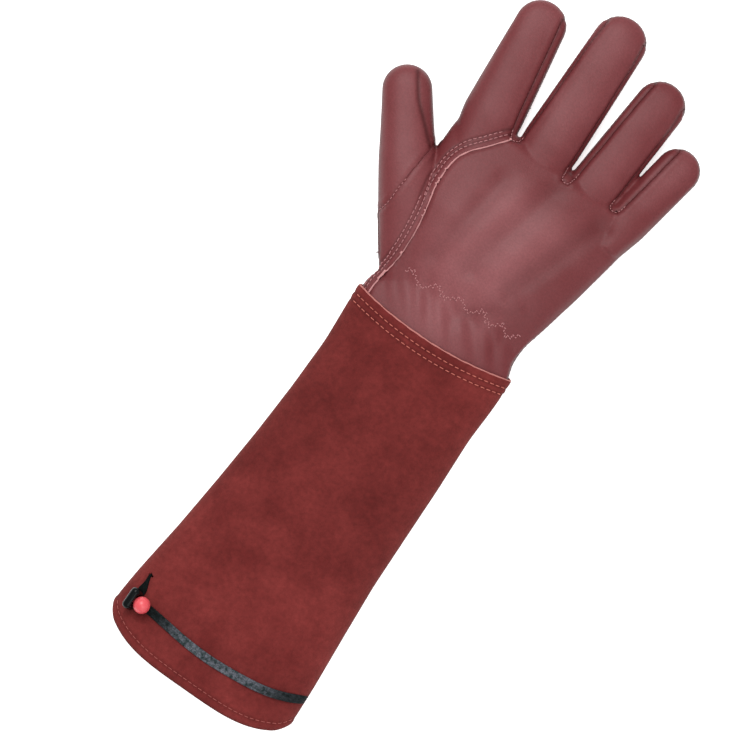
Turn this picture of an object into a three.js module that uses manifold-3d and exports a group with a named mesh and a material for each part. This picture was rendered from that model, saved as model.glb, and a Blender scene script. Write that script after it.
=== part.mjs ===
// Long-cuffed leather work gauntlet for a right hand, lying palm down.
// Millimetres. +Z is up, +Y runs along the cuff towards the fingertips, the thumb is on the -X side.
// While it is being built, the wrist line is at y = 0 and the resting plane at z = 0.

import * as THREE from "three";
import { mergeVertices } from "three/addons/utils/BufferGeometryUtils.js";
import Module from "manifold-3d";

// Sheet goods and clearances
const LEATHER = 1.3;
const SUEDE = 1.6;
const TAPE = 1.0;
const GAP = 0.3;

// Level of the widest line of every section, where front and back are sewn together
const SIDE_SEAM_Z = 8;

// Cuff
const CUFF_LENGTH = 239.6;
const MOUTH_WIDTH = 119.6;
const MOUTH_HEIGHT = 23;
const CUFF_WRIST_WIDTH = 100;
const CUFF_WRIST_HEIGHT = 19;
const MOUTH_CORNER = 13.5;
const WRIST_EDGE_SAG = 6;
const WRIST_EDGE_RISE = 7;
const WRIST_EDGE_SKEW = 2;

// Hand
const PALM_LENGTH = 114;
const PALM_WIDTH = 118;
const PALM_HEIGHT = 24;
const PALM_SHIFT = 1.5;
const TUCK = 18;
const THUMB_HEIGHT = 20;
const STRIP_LOW = 5;
const WEB_HALF_WIDTH = 2.6;

// Cord lock and drawcord tape
const TAPE_WIDTH = 5.5;
const TAPE_WIDTH_IN_LOCK = 3.2;
const TAPE_TAIL = 9;
const TAPE_BEND = 0.2;
const HOUSING_THICKNESS = 5.3;
const HOUSING_LENGTH = 13;
const HOUSING_HEIGHT = 10;
const HOUSING_BEVEL = 0.6;
const HOUSING_CORNER = 1.6;
const BALL_DIAMETER = 9.5;
const STEM_DIAMETER = 3;
const STEM_SEAT = 0.8;
const CUP_DEPTH = 2.25;
const BUTTON_TRAVEL = 1;
const LOCK_FROM_MOUTH = 24.6;
const LOCK_FROM_EDGE = 16.7;

// Points in half of a section
const TOP_POINTS = 18;
const BOTTOM_POINTS = 8;
const FINGER_TOP_POINTS = 11;
const FINGER_BOTTOM_POINTS = 6;

// Points of a seam for each row of its table, and sides of the turned parts of the lock
const POINTS_PER_SEAM_ROW = 2;
const ROUND_SIDES = 14;
const ROUND_BANDS = 10;

// Roundness of the crowned upper side and of the flattened lower side
const TOP_POWER = 2.3;
const BOTTOM_POWER = 5;
const BOTTOM_FLATTENING = 1.06;
const MOUTH_CORNER_POWER = 3.7;

// Cuff sections from the wrist (0) to the mouth (1). flare and rise go from 0, the wrist's size, to 1,
// the mouth's size; shift is a share of the mouth's half width.
const CUFF_ROWS = [
  { at: 0, flare: 0, rise: 0, shift: 0.016 },
  { at: 0.07, flare: -0.05, rise: 0.15, shift: 0.028 },
  { at: 0.16, flare: -0.17, rise: 0.3, shift: 0.034 },
  { at: 0.29, flare: -0.07, rise: 0.45, shift: 0.042 },
  { at: 0.42, flare: 0.045, rise: 0.55, shift: 0.036 },
  { at: 0.56, flare: 0.22, rise: 0.65, shift: 0.022 },
  { at: 0.7, flare: 0.505, rise: 0.8, shift: 0.017 },
  { at: 0.83, flare: 0.83, rise: 0.95, shift: 0.006 },
  { at: 0.88, flare: 0.915, rise: 0.9, shift: 0.002 },
  { at: 0.94, flare: 1, rise: 1, shift: 0 },
  { at: 1, flare: 1, rise: 1, shift: 0 },
];

// Palm sections from the wrist line (0) to the finger forks (1). left and right are shares of half the
// palm's width, top is a share of the palm's height, and close goes to 1 where front and back would meet.
const PALM_ROWS = [
  { at: 0.03, left: 0.815, right: 0.789, top: 0.62, close: 0 },
  { at: 0.08, left: 0.78, right: 0.756, top: 0.6, close: 0 },
  { at: 0.14, left: 0.785, right: 0.749, top: 0.57, close: 0 },
  { at: 0.2, left: 0.8, right: 0.759, top: 0.68, close: 0 },
  { at: 0.29, left: 0.835, right: 0.804, top: 0.84, close: 0 },
  { at: 0.4, left: 0.88, right: 0.849, top: 0.95, close: 0 },
  { at: 0.52, left: 0.925, right: 0.899, top: 1, close: 0 },
  { at: 0.76, left: 0.985, right: 0.984, top: 0.92, close: 0 },
  { at: 0.87, left: 0.985, right: 1.014, top: 0.83, close: 0 },
  { at: 0.945, left: 0.965, right: 1.024, top: 0.76, close: 0 },
  { at: 0.98, left: 0.955, right: 1.019, top: 0.74, close: 0.22 },
  { at: 1, left: 0.95, right: 1.014, top: 0.72, close: 0.6 },
];

// Soft folds on the back of the hand, from a finger fork towards the wrist, in shares of half the palm's
// width and of the palm's length; depth and width are shares of the palm's height.
const FOLDS = [
  { x0: 0.17, y0: 0.92, x1: -0.08, y1: 0.34, depth: 0.07, width: 0.3 },
  { x0: 0.7, y0: 0.86, x1: 0.36, y1: 0.36, depth: 0.07, width: 0.28 },
  { x0: -0.3, y0: 0.78, x1: -0.42, y1: 0.3, depth: 0.05, width: 0.25 },
  { x0: 0.52, y0: 0.3, x1: 0.1, y1: 0.12, depth: 0.04, width: 0.2 },
];

// Fingers. rootX and rootY are shares of half the palm's width and of the palm's length; lean turns the
// finger towards the little-finger side, in degrees; the two widths are at the fork and near the tip.
const FINGERS = {
  index: { rootX: -0.68, rootY: 0.8, lean: -7, length: 94.8, width: 33.9, tipWidth: 28.4, height: 17.5 },
  middle: { rootX: -0.112, rootY: 0.8, lean: -1.3, length: 111.8, width: 33, tipWidth: 30, height: 18 },
  ring: { rootX: 0.41, rootY: 0.8, lean: 3.8, length: 95.2, width: 29.4, tipWidth: 28, height: 17 },
  little: { rootX: 0.817, rootY: 0.8, lean: 9.5, length: 70.8, width: 24, tipWidth: 24.6, height: 17 },
};

// Side strips between neighbouring fingers: how far each reaches onto the backs of its two fingers, and how
// deep its web goes into the palm
const STRIPS = {
  fourchette_index_middle: { first: "index", second: "middle", onFirst: 4.2, onSecond: 1.6, web: 3.5 },
  fourchette_middle_ring: { first: "middle", second: "ring", onFirst: 1.6, onSecond: 3.4, web: 7 },
  fourchette_ring_little: { first: "ring", second: "little", onFirst: 1.6, onSecond: 5.4, web: 4 },
};

// Along a finger: its share from the root, and the share of the strip's reach onto its back
const STRIP_ROWS = [
  { at: 0.3, reach: 0.9 },
  { at: 0.6, reach: 1 },
  { at: 0.8, reach: 1 },
  { at: 0.94, reach: 0.5 },
];

// Thumb. Its axis starts deep in the palm, near the wrist.
const THUMB = { rootX: -0.428, rootY: 0.073, lean: -35, length: 126.4, width: 32.4, tipWidth: 27.6 };

// Finger sections from root (0) to where the rounded tip starts (1): narrow goes from the fork's width
// (0) to the tip's width (1) and wide multiplies it, high is a share of the finger's height, lift a share
// of the hand's lift.
const FINGER_ROWS = [
  { at: 0, wide: 0.84, narrow: 0, high: 0.98, lift: 1 },
  { at: 0.3, wide: 1, narrow: 0, high: 1, lift: 1 },
  { at: 0.5, wide: 1, narrow: 0.25, high: 0.96, lift: 0.8 },
  { at: 0.75, wide: 1, narrow: 0.6, high: 0.9, lift: 0.3 },
  { at: 1, wide: 1, narrow: 1, high: 0.84, lift: 0 },
];
const THUMB_ROWS = [
  { at: 0, wide: 0.96, narrow: 0.1, high: 0.56, lift: 1 },
  { at: 0.25, wide: 1, narrow: 0.1, high: 0.8, lift: 1 },
  { at: 0.45, wide: 1, narrow: 0, high: 0.98, lift: 1 },
  { at: 0.65, wide: 1, narrow: 0.1, high: 1, lift: 0.7 },
  { at: 0.82, wide: 1, narrow: 0.6, high: 0.92, lift: 0.3 },
  { at: 1, wide: 1, narrow: 1, high: 0.86, lift: 0 },
];

// Rounded tip: angle round the tip in degrees and the share of the height left there. TIP_LIFT is the share
// of the lost height that is lost from below.
const TIP_LIFT = 0.35;
const LEAST_HALF_HEIGHT = 1;
const TIP_ROWS = [
  { angle: 25, high: 0.96 },
  { angle: 48, high: 0.84 },
  { angle: 67, high: 0.64 },
  { angle: 81, high: 0.4 },
];

// Seams in plan, in shares of half the palm's width and of the palm's length
const KEYSTONE_SEAM = [
  { x: -0.74, y: -0.2 },
  { x: -0.735, y: 0.04 },
  { x: -0.69, y: 0.2 },
  { x: -0.72, y: 0.4 },
  { x: -0.8, y: 0.6 },
  { x: -0.775, y: 0.76 },
  { x: -0.6, y: 0.88 },
  { x: -0.415, y: 1.0 },
];
const INSET_SEAM = [
  { x: -0.42, y: 0.985 },
  { x: -0.37, y: 0.93 },
  { x: -0.25, y: 0.925 },
  { x: 0, y: 0.945 },
  { x: 0.3, y: 0.95 },
  { x: 0.55, y: 0.95 },
  { x: 0.66, y: 0.965 },
];
const THUMB_SEAM_FRONT = [
  { x: -1.01, y: 0.775 },
  { x: -0.82, y: 0.74 },
  { x: -0.66, y: 0.67 },
  { x: -0.52, y: 0.53 },
  { x: -0.42, y: 0.4 },
  { x: -0.385, y: 0.29 },
  { x: -0.47, y: 0.18 },
  { x: -0.66, y: 0.125 },
  { x: -0.85, y: 0.145 },
  { x: -1.1, y: 0.23 },
];
const THUMB_SEAM_BACK = [
  { x: -1.01, y: 0.775 },
  { x: -1.05, y: 0.55 },
  { x: -1.08, y: 0.34 },
  { x: -1.2, y: 0.3 },
];

// Suede patch under the palm: finger side first, then the outer edge, then the slanting wrist side
const PATCH_TOP = [
  { x: -0.75, y: 0.8 },
  { x: -0.6, y: 0.875 },
  { x: -0.4, y: 0.9 },
  { x: 0, y: 0.92 },
  { x: 0.35, y: 0.925 },
  { x: 0.62, y: 0.915 },
  { x: 0.8, y: 0.925 },
  { x: 0.955, y: 0.88 },
];
const PATCH_BOTTOM = [
  { x: 0.8, y: 0.44 },
  { x: 0.55, y: 0.55 },
  { x: 0.25, y: 0.625 },
  { x: -0.05, y: 0.68 },
  { x: -0.4, y: 0.735 },
  { x: -0.72, y: 0.76 },
];

// Route of the drawcord tape over the cuff: across is a share of half the mouth's width, fromMouth a
// length, and width goes from 0, the width in the lock, to 1, the full width.
const TAPE_ROUTE = [
  { across: -0.844, fromMouth: 40.4, width: 0 },
  { across: -0.829, fromMouth: 34, width: 0 },
  { across: -0.823, fromMouth: 28.6, width: 0 },
  { across: -0.785, fromMouth: 25.4, width: 0.1 },
  { across: -0.73, fromMouth: 24.6, width: 0.5 },
  { across: -0.655, fromMouth: 24.5, width: 1 },
  { across: -0.48, fromMouth: 23.4, width: 1 },
  { across: -0.24, fromMouth: 21.8, width: 1 },
  { across: 0.05, fromMouth: 21.2, width: 1 },
  { across: 0.37, fromMouth: 22.6, width: 1 },
  { across: 0.63, fromMouth: 25, width: 1 },
  { across: 0.86, fromMouth: 29.6, width: 1 },
  { across: 1.08, fromMouth: 36, width: 1 },
];
const TAPE_STEPS = 36;

const FAR = 400;
const BEYOND_TIP = 1.6;
const HALF_TURN = Math.PI;

// Values that follow from the sizes above
const HAND_LIFT = SUEDE + GAP;
const HALF_PALM = PALM_WIDTH / 2;
const HALF_MOUTH = MOUTH_WIDTH / 2;
const HALF_WRIST = CUFF_WRIST_WIDTH / 2;
const TAPE_TOP = GAP + TAPE;

const wasm = await Module();
wasm.setup();

function plan(x, y) {
  return new THREE.Vector2(x, y);
}

// Solids

function toSolid(geometry) {
  const bare = geometry.clone();
  bare.deleteAttribute("normal");
  bare.deleteAttribute("uv");
  const merged = mergeVertices(bare, 1e-4);
  return new wasm.Manifold(
    new wasm.Mesh({
      numProp: 3,
      vertProperties: new Float32Array(merged.attributes.position.array),
      triVerts: new Uint32Array(merged.index.array),
    }),
  );
}

function toGeometry(solid) {
  const mesh = solid.getMesh();
  const geometry = new THREE.BufferGeometry();
  geometry.setAttribute("position", new THREE.BufferAttribute(mesh.vertProperties, 3));
  geometry.setIndex(new THREE.BufferAttribute(mesh.triVerts, 1));
  geometry.computeVertexNormals();
  return geometry;
}

function join(solids) {
  return solids.reduce((whole, solid) => whole.add(solid));
}

function largest(solid) {
  return solid.decompose().reduce((best, body) => (body.volume() > best.volume() ? body : best));
}

// Closed skin through rings that all have the same number of points
function loft(rings) {
  const count = rings[0].length;
  const points = rings.flat();
  const faces = [];
  for (let row = 0; row + 1 < rings.length; row++) {
    for (let i = 0; i < count; i++) {
      const a = row * count + i;
      const b = row * count + ((i + 1) % count);
      faces.push(a, b, b + count, a, b + count, a + count);
    }
  }
  [0, rings.length - 1].forEach((row) => {
    const hub = points.length;
    const ring = rings[row];
    const centre = ring.reduce((sum, p) => sum.add(p), new THREE.Vector3()).divideScalar(count);
    points.push(centre);
    for (let i = 0; i < count; i++) {
      const a = row * count + i;
      const b = row * count + ((i + 1) % count);
      if (row === 0) faces.push(hub, b, a);
      else faces.push(hub, a, b);
    }
  });
  const geometry = new THREE.BufferGeometry().setFromPoints(points);
  geometry.setIndex(faces);
  const solid = toSolid(geometry);
  if (solid.volume() > 0) return solid;
  geometry.setIndex(faces.reverse());
  return toSolid(geometry);
}

// Upright prism over a plan outline
function prism(outline, low, high) {
  const shape = new THREE.Shape(outline);
  const geometry = new THREE.ExtrudeGeometry(shape, { depth: high - low, bevelEnabled: false });
  return toSolid(geometry.translate(0, 0, low));
}

// Outline moved outwards by a distance
function grow(outline, distance) {
  const turn = THREE.ShapeUtils.isClockWise(outline) ? -1 : 1;
  const count = outline.length;
  return outline.map((point, i) => {
    const before = point.clone().sub(outline[(i + count - 1) % count]).normalize();
    const after = outline[(i + 1) % count].clone().sub(point).normalize();
    const along = before.clone().add(after).normalize();
    const mitre = Math.max(0.5, along.dot(after));
    return new THREE.Vector2(
      point.x + (turn * along.y * distance) / mitre,
      point.y - (turn * along.x * distance) / mitre,
    );
  });
}

// Cuts the part of a skin inside some regions out of it, with a seam's gap all round
function take(skin, regions) {
  const inside = regions.map((r) => prism(r.outline, r.low, r.high));
  const around = regions.map((r) => prism(grow(r.outline, GAP), r.low - GAP, r.high + GAP));
  return { piece: largest(skin.intersect(join(inside))), rest: skin.subtract(join(around)) };
}

// Sections

// Unit section: across goes from -1 to 1, and rise is 1 at the top and -1 at the flat bottom
function unitSection(topPoints, bottomPoints) {
  const section = [];
  for (let i = 0; i < topPoints; i++) {
    const across = Math.cos((HALF_TURN * i) / topPoints);
    section.push({ across, rise: (1 - Math.abs(across) ** TOP_POWER) ** (1 / TOP_POWER) });
  }
  for (let i = 0; i < bottomPoints; i++) {
    const across = -Math.cos((HALF_TURN * i) / bottomPoints);
    const drop = (1 - Math.abs(across) ** BOTTOM_POWER) ** (1 / BOTTOM_POWER);
    section.push({ across, rise: -Math.min(1, drop * BOTTOM_FLATTENING) });
  }
  return section;
}

function sectionHeight(rise, low, high) {
  if (rise > 0) return SIDE_SEAM_Z + rise * (high - SIDE_SEAM_Z);
  return SIDE_SEAM_Z + rise * (SIDE_SEAM_Z - low);
}

// Value of one column of a table between its rows
function column(rows, key, at) {
  let i = 0;
  while (i + 2 < rows.length && at > rows[i + 1].at) i++;
  const share = THREE.MathUtils.clamp((at - rows[i].at) / (rows[i + 1].at - rows[i].at), 0, 1);
  return THREE.MathUtils.lerp(rows[i][key], rows[i + 1][key], share);
}

// Cuff

function cuffSize(y) {
  const at = -y / CUFF_LENGTH;
  return {
    centre: column(CUFF_ROWS, "shift", at) * HALF_MOUTH,
    half: THREE.MathUtils.lerp(HALF_WRIST, HALF_MOUTH, column(CUFF_ROWS, "flare", at)),
    top: THREE.MathUtils.lerp(CUFF_WRIST_HEIGHT, MOUTH_HEIGHT, column(CUFF_ROWS, "rise", at)),
  };
}

function wristEdge(across, onBack) {
  const bow = 1 - across * across;
  const lift = onBack ? -WRIST_EDGE_SAG : WRIST_EDGE_RISE;
  return lift * bow + WRIST_EDGE_SKEW * across;
}

function mouthEdge(across) {
  return -CUFF_LENGTH + MOUTH_CORNER * Math.abs(across) ** MOUTH_CORNER_POWER;
}

// The cuff's outer form moved outwards by offset, and lengthened at both ends by overrun
function cuffForm(offset, overrun) {
  const section = unitSection(TOP_POINTS, BOTTOM_POINTS);
  const rings = CUFF_ROWS.map((row) =>
    section.map(({ across, rise }) => {
      const start = wristEdge(across, rise > 0) + overrun;
      const end = mouthEdge(across) - overrun;
      const y = THREE.MathUtils.lerp(start, end, row.at);
      const { centre, half, top } = cuffSize(y);
      const x = centre + across * (half + offset);
      return new THREE.Vector3(x, y, sectionHeight(rise, -offset, top + offset));
    }),
  );
  return loft(rings);
}

function cuffTopAt(x, y) {
  const { centre, half, top } = cuffSize(y);
  const across = Math.min(1, Math.abs((x - centre) / half));
  return sectionHeight((1 - across ** TOP_POWER) ** (1 / TOP_POWER), 0, top);
}

// Hand

function palmX(share) {
  return PALM_SHIFT + share * HALF_PALM;
}

function palmPoint({ x, y }) {
  return new THREE.Vector2(palmX(x), y * PALM_LENGTH);
}

function foldDepth(x, y) {
  return FOLDS.reduce((sum, fold) => {
    const line = new THREE.Line3(
      new THREE.Vector3(palmX(fold.x0), fold.y0 * PALM_LENGTH, 0),
      new THREE.Vector3(palmX(fold.x1), fold.y1 * PALM_LENGTH, 0),
    );
    const point = new THREE.Vector3(x, y, 0);
    const near = line.closestPointToPoint(point, true, new THREE.Vector3());
    const far = near.distanceTo(point) / (fold.width * PALM_HEIGHT);
    return sum + fold.depth * PALM_HEIGHT * Math.exp(-far * far);
  }, 0);
}

// Sections of the sleeve tucked into the cuff, then of the palm itself
function palmSizes() {
  const tucked = [-TUCK, -TUCK / 2, 0].map((y) => {
    const { centre, half, top } = cuffSize(y);
    const inset = SUEDE + GAP;
    return { y, left: centre - half + inset, right: centre + half - inset, top: top - inset, close: 0 };
  });
  const palm = PALM_ROWS.map((row) => ({
    y: row.at * PALM_LENGTH,
    left: palmX(-row.left),
    right: palmX(row.right),
    top: HAND_LIFT + row.top * PALM_HEIGHT,
    close: row.close,
  }));
  return [...tucked, ...palm];
}

function palmForm(offset, overrun) {
  const section = unitSection(TOP_POINTS, BOTTOM_POINTS);
  const sizes = palmSizes();
  const rings = sizes.map((size, i) => {
    const half = (size.right - size.left) / 2 + offset;
    const centre = (size.right + size.left) / 2;
    const low = THREE.MathUtils.lerp(HAND_LIFT, SIDE_SEAM_Z, size.close) - offset;
    const top = THREE.MathUtils.lerp(size.top, SIDE_SEAM_Z, size.close) + offset;
    const first = i === 0 ? -overrun : 0;
    const last = i === sizes.length - 1 ? offset : 0;
    return section.map(({ across, rise }) => {
      const x = centre + across * half;
      const z = sectionHeight(rise, low, top);
      const dip = rise > 0 ? rise * foldDepth(x, size.y) : 0;
      return new THREE.Vector3(x, size.y + first + last, z - dip);
    });
  });
  return loft(rings);
}

// Point on a finger's axis, and the axis direction
function axisOf(finger) {
  const lean = THREE.MathUtils.degToRad(finger.lean);
  const root = palmPoint({ x: finger.rootX, y: finger.rootY });
  const along = new THREE.Vector2(Math.sin(lean), Math.cos(lean));
  return { along, at: (share) => root.clone().addScaledVector(along, share * finger.length) };
}

function fingerForm(finger, rows, height, offset) {
  const section = unitSection(FINGER_TOP_POINTS, FINGER_BOTTOM_POINTS);
  const { along, at } = axisOf(finger);
  const radius = finger.tipWidth / 2;
  const straight = finger.length - radius;
  const sizes = rows.map((row, i) => ({
    reach: row.at * straight - (i === 0 ? offset : 0),
    half: (row.wide * THREE.MathUtils.lerp(finger.width, finger.tipWidth, row.narrow)) / 2,
    high: row.high * height,
    low: row.lift * HAND_LIFT,
  }));
  const last = sizes[sizes.length - 1];
  const cap = TIP_ROWS.map((row) => {
    const angle = THREE.MathUtils.degToRad(row.angle);
    return {
      reach: straight + (radius + offset) * Math.sin(angle),
      half: (radius + offset) * Math.cos(angle) - offset,
      high: last.high * row.high,
      low: last.high * (1 - row.high) * TIP_LIFT,
    };
  });
  const rings = [...sizes, ...cap].map((size) => {
    const centre = at(size.reach / finger.length);
    const low = Math.min(size.low - offset, SIDE_SEAM_Z - LEAST_HALF_HEIGHT);
    const high = Math.max(size.low + size.high + offset, SIDE_SEAM_Z + LEAST_HALF_HEIGHT);
    const half = size.half + offset;
    return section.map(({ across, rise }) => {
      const x = centre.x + along.y * across * half;
      const y = centre.y - along.x * across * half;
      return new THREE.Vector3(x, y, sectionHeight(rise, low, high));
    });
  });
  return loft(rings);
}

function handForm(offset, overrun) {
  const fingers = Object.values(FINGERS).map((f) => fingerForm(f, FINGER_ROWS, f.height, offset));
  const thumb = fingerForm(THUMB, THUMB_ROWS, THUMB_HEIGHT, offset);
  return join([palmForm(offset, overrun), ...fingers, thumb]);
}

// Smooth plan curve through seam points
function seam(rows) {
  return new THREE.SplineCurve(rows.map(palmPoint)).getPoints(POINTS_PER_SEAM_ROW * rows.length);
}

// Point in plan on a finger's side, at a share of its length and an inset from its widest line
function fingerSide(finger, side, share, inset) {
  const { along, at } = axisOf(finger);
  const radius = finger.tipWidth / 2;
  const straight = finger.length - radius;
  const reach = share * finger.length;
  const narrow = column(FINGER_ROWS, "narrow", reach / straight);
  const width = THREE.MathUtils.lerp(finger.width, finger.tipWidth, narrow);
  const past = Math.max(0, reach - straight);
  const half = past > 0 ? Math.sqrt(radius * radius - past * past) : width / 2;
  return at(share).addScaledVector(plan(along.y, -along.x), side * (half - inset));
}

// Line midway between two fingers, from their fork to beyond their tips
function between(a, b) {
  const axisA = axisOf(a);
  const axisB = axisOf(b);
  return [...STRIP_ROWS.map((row) => row.at), BEYOND_TIP].map((share) => {
    const pointA = axisA.at(share);
    const reach = (pointA.y - axisB.at(0).y) / axisB.along.y;
    const pointB = axisB.at(reach / b.length);
    return pointA.lerp(pointB, a.width / (a.width + b.width));
  });
}

// Side strips of two neighbouring fingers and the web between them
function stripRegion({ first, second, onFirst, onSecond, web }) {
  const a = FINGERS[first];
  const b = FINGERS[second];
  const fork = between(a, b)[0].x;
  const start = PALM_LENGTH - web;
  const sideA = STRIP_ROWS.map((row) => fingerSide(a, 1, row.at, onFirst * row.reach));
  const sideB = STRIP_ROWS.map((row) => fingerSide(b, -1, row.at, onSecond * row.reach));
  const outline = [
    ...sideA.reverse(),
    plan(fork - WEB_HALF_WIDTH, start),
    plan(fork + WEB_HALF_WIDTH, start),
    ...sideB,
  ];
  return { outline, low: STRIP_LOW, high: FAR };
}

function backRegion() {
  const edge = seam(KEYSTONE_SEAM);
  const gap = between(FINGERS.index, FINGERS.middle);
  const outline = [...edge, ...gap.slice(1), plan(FAR, FAR), plan(FAR, -FAR), plan(edge[0].x, -FAR)];
  return { outline, low: SIDE_SEAM_Z, high: FAR };
}

function insetRegion(before, finger, after) {
  const left = between(before, finger);
  const right = between(finger, after);
  const edge = seam(INSET_SEAM);
  const base = edge.filter((p) => p.x > left[0].x && p.x < right[0].x);
  const baseAt = (x) => {
    const i = Math.max(1, edge.findIndex((p) => p.x >= x));
    const share = THREE.MathUtils.clamp((x - edge[i - 1].x) / (edge[i].x - edge[i - 1].x), 0, 1);
    return plan(x, THREE.MathUtils.lerp(edge[i - 1].y, edge[i].y, share));
  };
  const outline = [
    baseAt(left[0].x),
    ...base,
    baseAt(right[0].x),
    ...right.slice(1),
    ...left.slice(1).reverse(),
  ];
  return { outline, low: -FAR, high: SIDE_SEAM_Z };
}

// Outer side of the thumb's cut: past its tip on the palm's side, and a slope out from the seam's end
const THUMB_CUT_REACH = 1.3;
const THUMB_CUT_SIDE = 0.6;
const THUMB_CUT_SLOPE = 0.2;

function thumbRegions() {
  const { along, at } = axisOf(THUMB);
  const aside = plan(along.y, -along.x).multiplyScalar(THUMB.width * THUMB_CUT_SIDE);
  const pastTip = at(THUMB_CUT_REACH).add(aside);
  const closed = (rows) => {
    const edge = seam(rows);
    const last = edge[edge.length - 1];
    return [...edge, plan(-FAR, last.y + (last.x + FAR) * THUMB_CUT_SLOPE), plan(-FAR, FAR / 2), pastTip];
  };
  return [
    { outline: closed(THUMB_SEAM_FRONT), low: -FAR, high: SIDE_SEAM_Z },
    { outline: closed(THUMB_SEAM_BACK), low: SIDE_SEAM_Z - GAP, high: FAR },
  ];
}

// All the leather of the hand: one skin cut along its seams
function handPieces() {
  const { index, middle, ring, little } = FINGERS;
  const skin = handForm(0, 0).subtract(handForm(-LEATHER, LEATHER));
  const cuts = [
    ...Object.entries(STRIPS).map(([name, strip]) => [name, [stripRegion(strip)]]),
    ["thumb", thumbRegions()],
    ["back_panel", [backRegion()]],
    ["middle_finger_front", [insetRegion(index, middle, ring)]],
    ["ring_finger_front", [insetRegion(middle, ring, little)]],
  ];
  const pieces = {};
  let rest = skin;
  cuts.forEach(([name, regions]) => {
    const cut = take(rest, regions);
    pieces[name] = cut.piece;
    rest = cut.rest;
  });
  pieces.palm_panel = largest(rest);
  return pieces;
}

function palmPatch() {
  const layer = handForm(GAP + SUEDE, 0).subtract(handForm(GAP, GAP + SUEDE));
  const outline = [...seam(PATCH_TOP), ...seam(PATCH_BOTTOM)];
  return largest(layer.intersect(prism(outline, -FAR, SIDE_SEAM_Z)));
}

// Drawcord

function tapeLine(row) {
  return plan(row.across * HALF_MOUTH, row.fromMouth - CUFF_LENGTH);
}

// Outline of the tape in plan, with its sides moved out by spare
function tapeOutline(spare) {
  const curve = new THREE.SplineCurve(TAPE_ROUTE.map(tapeLine));
  const widths = new THREE.SplineCurve(TAPE_ROUTE.map((row, i) => plan(i, row.width)));
  const left = [];
  const right = [];
  for (let i = 0; i <= TAPE_STEPS; i++) {
    const at = i / TAPE_STEPS;
    const share = THREE.MathUtils.clamp(widths.getPoint(at).y, 0, 1);
    const half = THREE.MathUtils.lerp(TAPE_WIDTH_IN_LOCK, TAPE_WIDTH, share) / 2 + spare;
    const point = curve.getPoint(at);
    const along = curve.getTangent(at);
    left.push(plan(point.x - along.y * half, point.y + along.x * half));
    right.push(plan(point.x + along.y * half, point.y - along.x * half));
  }
  return [...left, ...right.reverse()];
}

// Rectangle from the tape's first point back along its direction
function tapeEnd(from, to, half) {
  const curve = new THREE.SplineCurve(TAPE_ROUTE.map(tapeLine));
  const start = curve.getPoint(0);
  const along = curve.getTangent(0);
  const side = plan(-along.y, along.x).multiplyScalar(half);
  const a = start.clone().addScaledVector(along, from);
  const b = start.clone().addScaledVector(along, to);
  return [a.clone().add(side), a.clone().sub(side), b.clone().sub(side), b.clone().add(side)];
}

function drawcord() {
  const half = TAPE_WIDTH_IN_LOCK / 2;
  const over = cuffForm(TAPE_TOP, TAPE).subtract(cuffForm(GAP, SUEDE));
  const outside = over.intersect(prism(tapeOutline(0), SIDE_SEAM_Z, FAR));
  const under = -SUEDE - GAP;
  const through = cuffForm(TAPE_TOP, TAPE).subtract(cuffForm(under - TAPE, SUEDE));
  const drop = through.intersect(prism(tapeEnd(-TAPE, TAPE_BEND, half), SIDE_SEAM_Z, FAR));
  const below = cuffForm(under, TAPE).subtract(cuffForm(under - TAPE, SUEDE));
  const tail = below.intersect(prism(tapeEnd(-TAPE_TAIL, 0, half), SIDE_SEAM_Z, FAR));
  return largest(join([outside, drop, tail]));
}

function cuff() {
  const slit = tapeEnd(-TAPE - GAP, TAPE_BEND + GAP, TAPE_WIDTH_IN_LOCK / 2 + GAP);
  return largest(
    cuffForm(0, 0)
      .subtract(cuffForm(-SUEDE, SUEDE))
      .subtract(prism(slit, SIDE_SEAM_Z, FAR)),
  );
}

// Cord lock. It is shaped with its plunger along X and its foot at height 0, then tilted to lie on the cuff.

const LOCK_X = LOCK_FROM_EDGE - HALF_MOUTH;
const LOCK_Y = LOCK_FROM_MOUTH - CUFF_LENGTH;
const CUP_BOTTOM_X = -BALL_DIAMETER / 2 - BUTTON_TRAVEL - GAP;
const HOUSING_FACE_X = CUP_BOTTOM_X + CUP_DEPTH;
const LOCK_REACH = HOUSING_THICKNESS - HOUSING_FACE_X;
const LOCK_TILT = Math.atan2(
  cuffTopAt(LOCK_X - LOCK_REACH, LOCK_Y) - cuffTopAt(LOCK_X, LOCK_Y),
  LOCK_REACH,
);
const STEM_Z = TAPE_TOP + GAP + BALL_DIAMETER / 2;

function seatLock(solidOrGeometry) {
  return solidOrGeometry.rotateY(LOCK_TILT).translate(LOCK_X, LOCK_Y, cuffTopAt(LOCK_X, LOCK_Y));
}

function rodAlongX(diameter, from, to) {
  const rod = new THREE.CylinderGeometry(diameter / 2, diameter / 2, to - from, ROUND_SIDES);
  return rod.rotateZ(HALF_TURN / 2).translate((from + to) / 2, 0, STEM_Z);
}

function housingBlock() {
  const x = HOUSING_THICKNESS / 2 - HOUSING_CORNER;
  const y = HOUSING_LENGTH / 2 - HOUSING_CORNER;
  const radius = HOUSING_CORNER - HOUSING_BEVEL;
  const shape = new THREE.Shape();
  shape.absarc(x, y, radius, 0, HALF_TURN / 2);
  shape.absarc(-x, y, radius, HALF_TURN / 2, HALF_TURN);
  shape.absarc(-x, -y, radius, HALF_TURN, HALF_TURN * 1.5);
  shape.absarc(x, -y, radius, HALF_TURN * 1.5, HALF_TURN * 2);
  const foot = -HOUSING_HEIGHT / 2;
  const block = new THREE.ExtrudeGeometry(shape, {
    depth: STEM_Z + HOUSING_HEIGHT / 2 - HOUSING_BEVEL - foot,
    bevelThickness: HOUSING_BEVEL,
    bevelSize: HOUSING_BEVEL,
    bevelSegments: 2,
    curveSegments: 4,
  });
  return block.translate(HOUSING_FACE_X - HOUSING_THICKNESS / 2, 0, foot);
}

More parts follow.
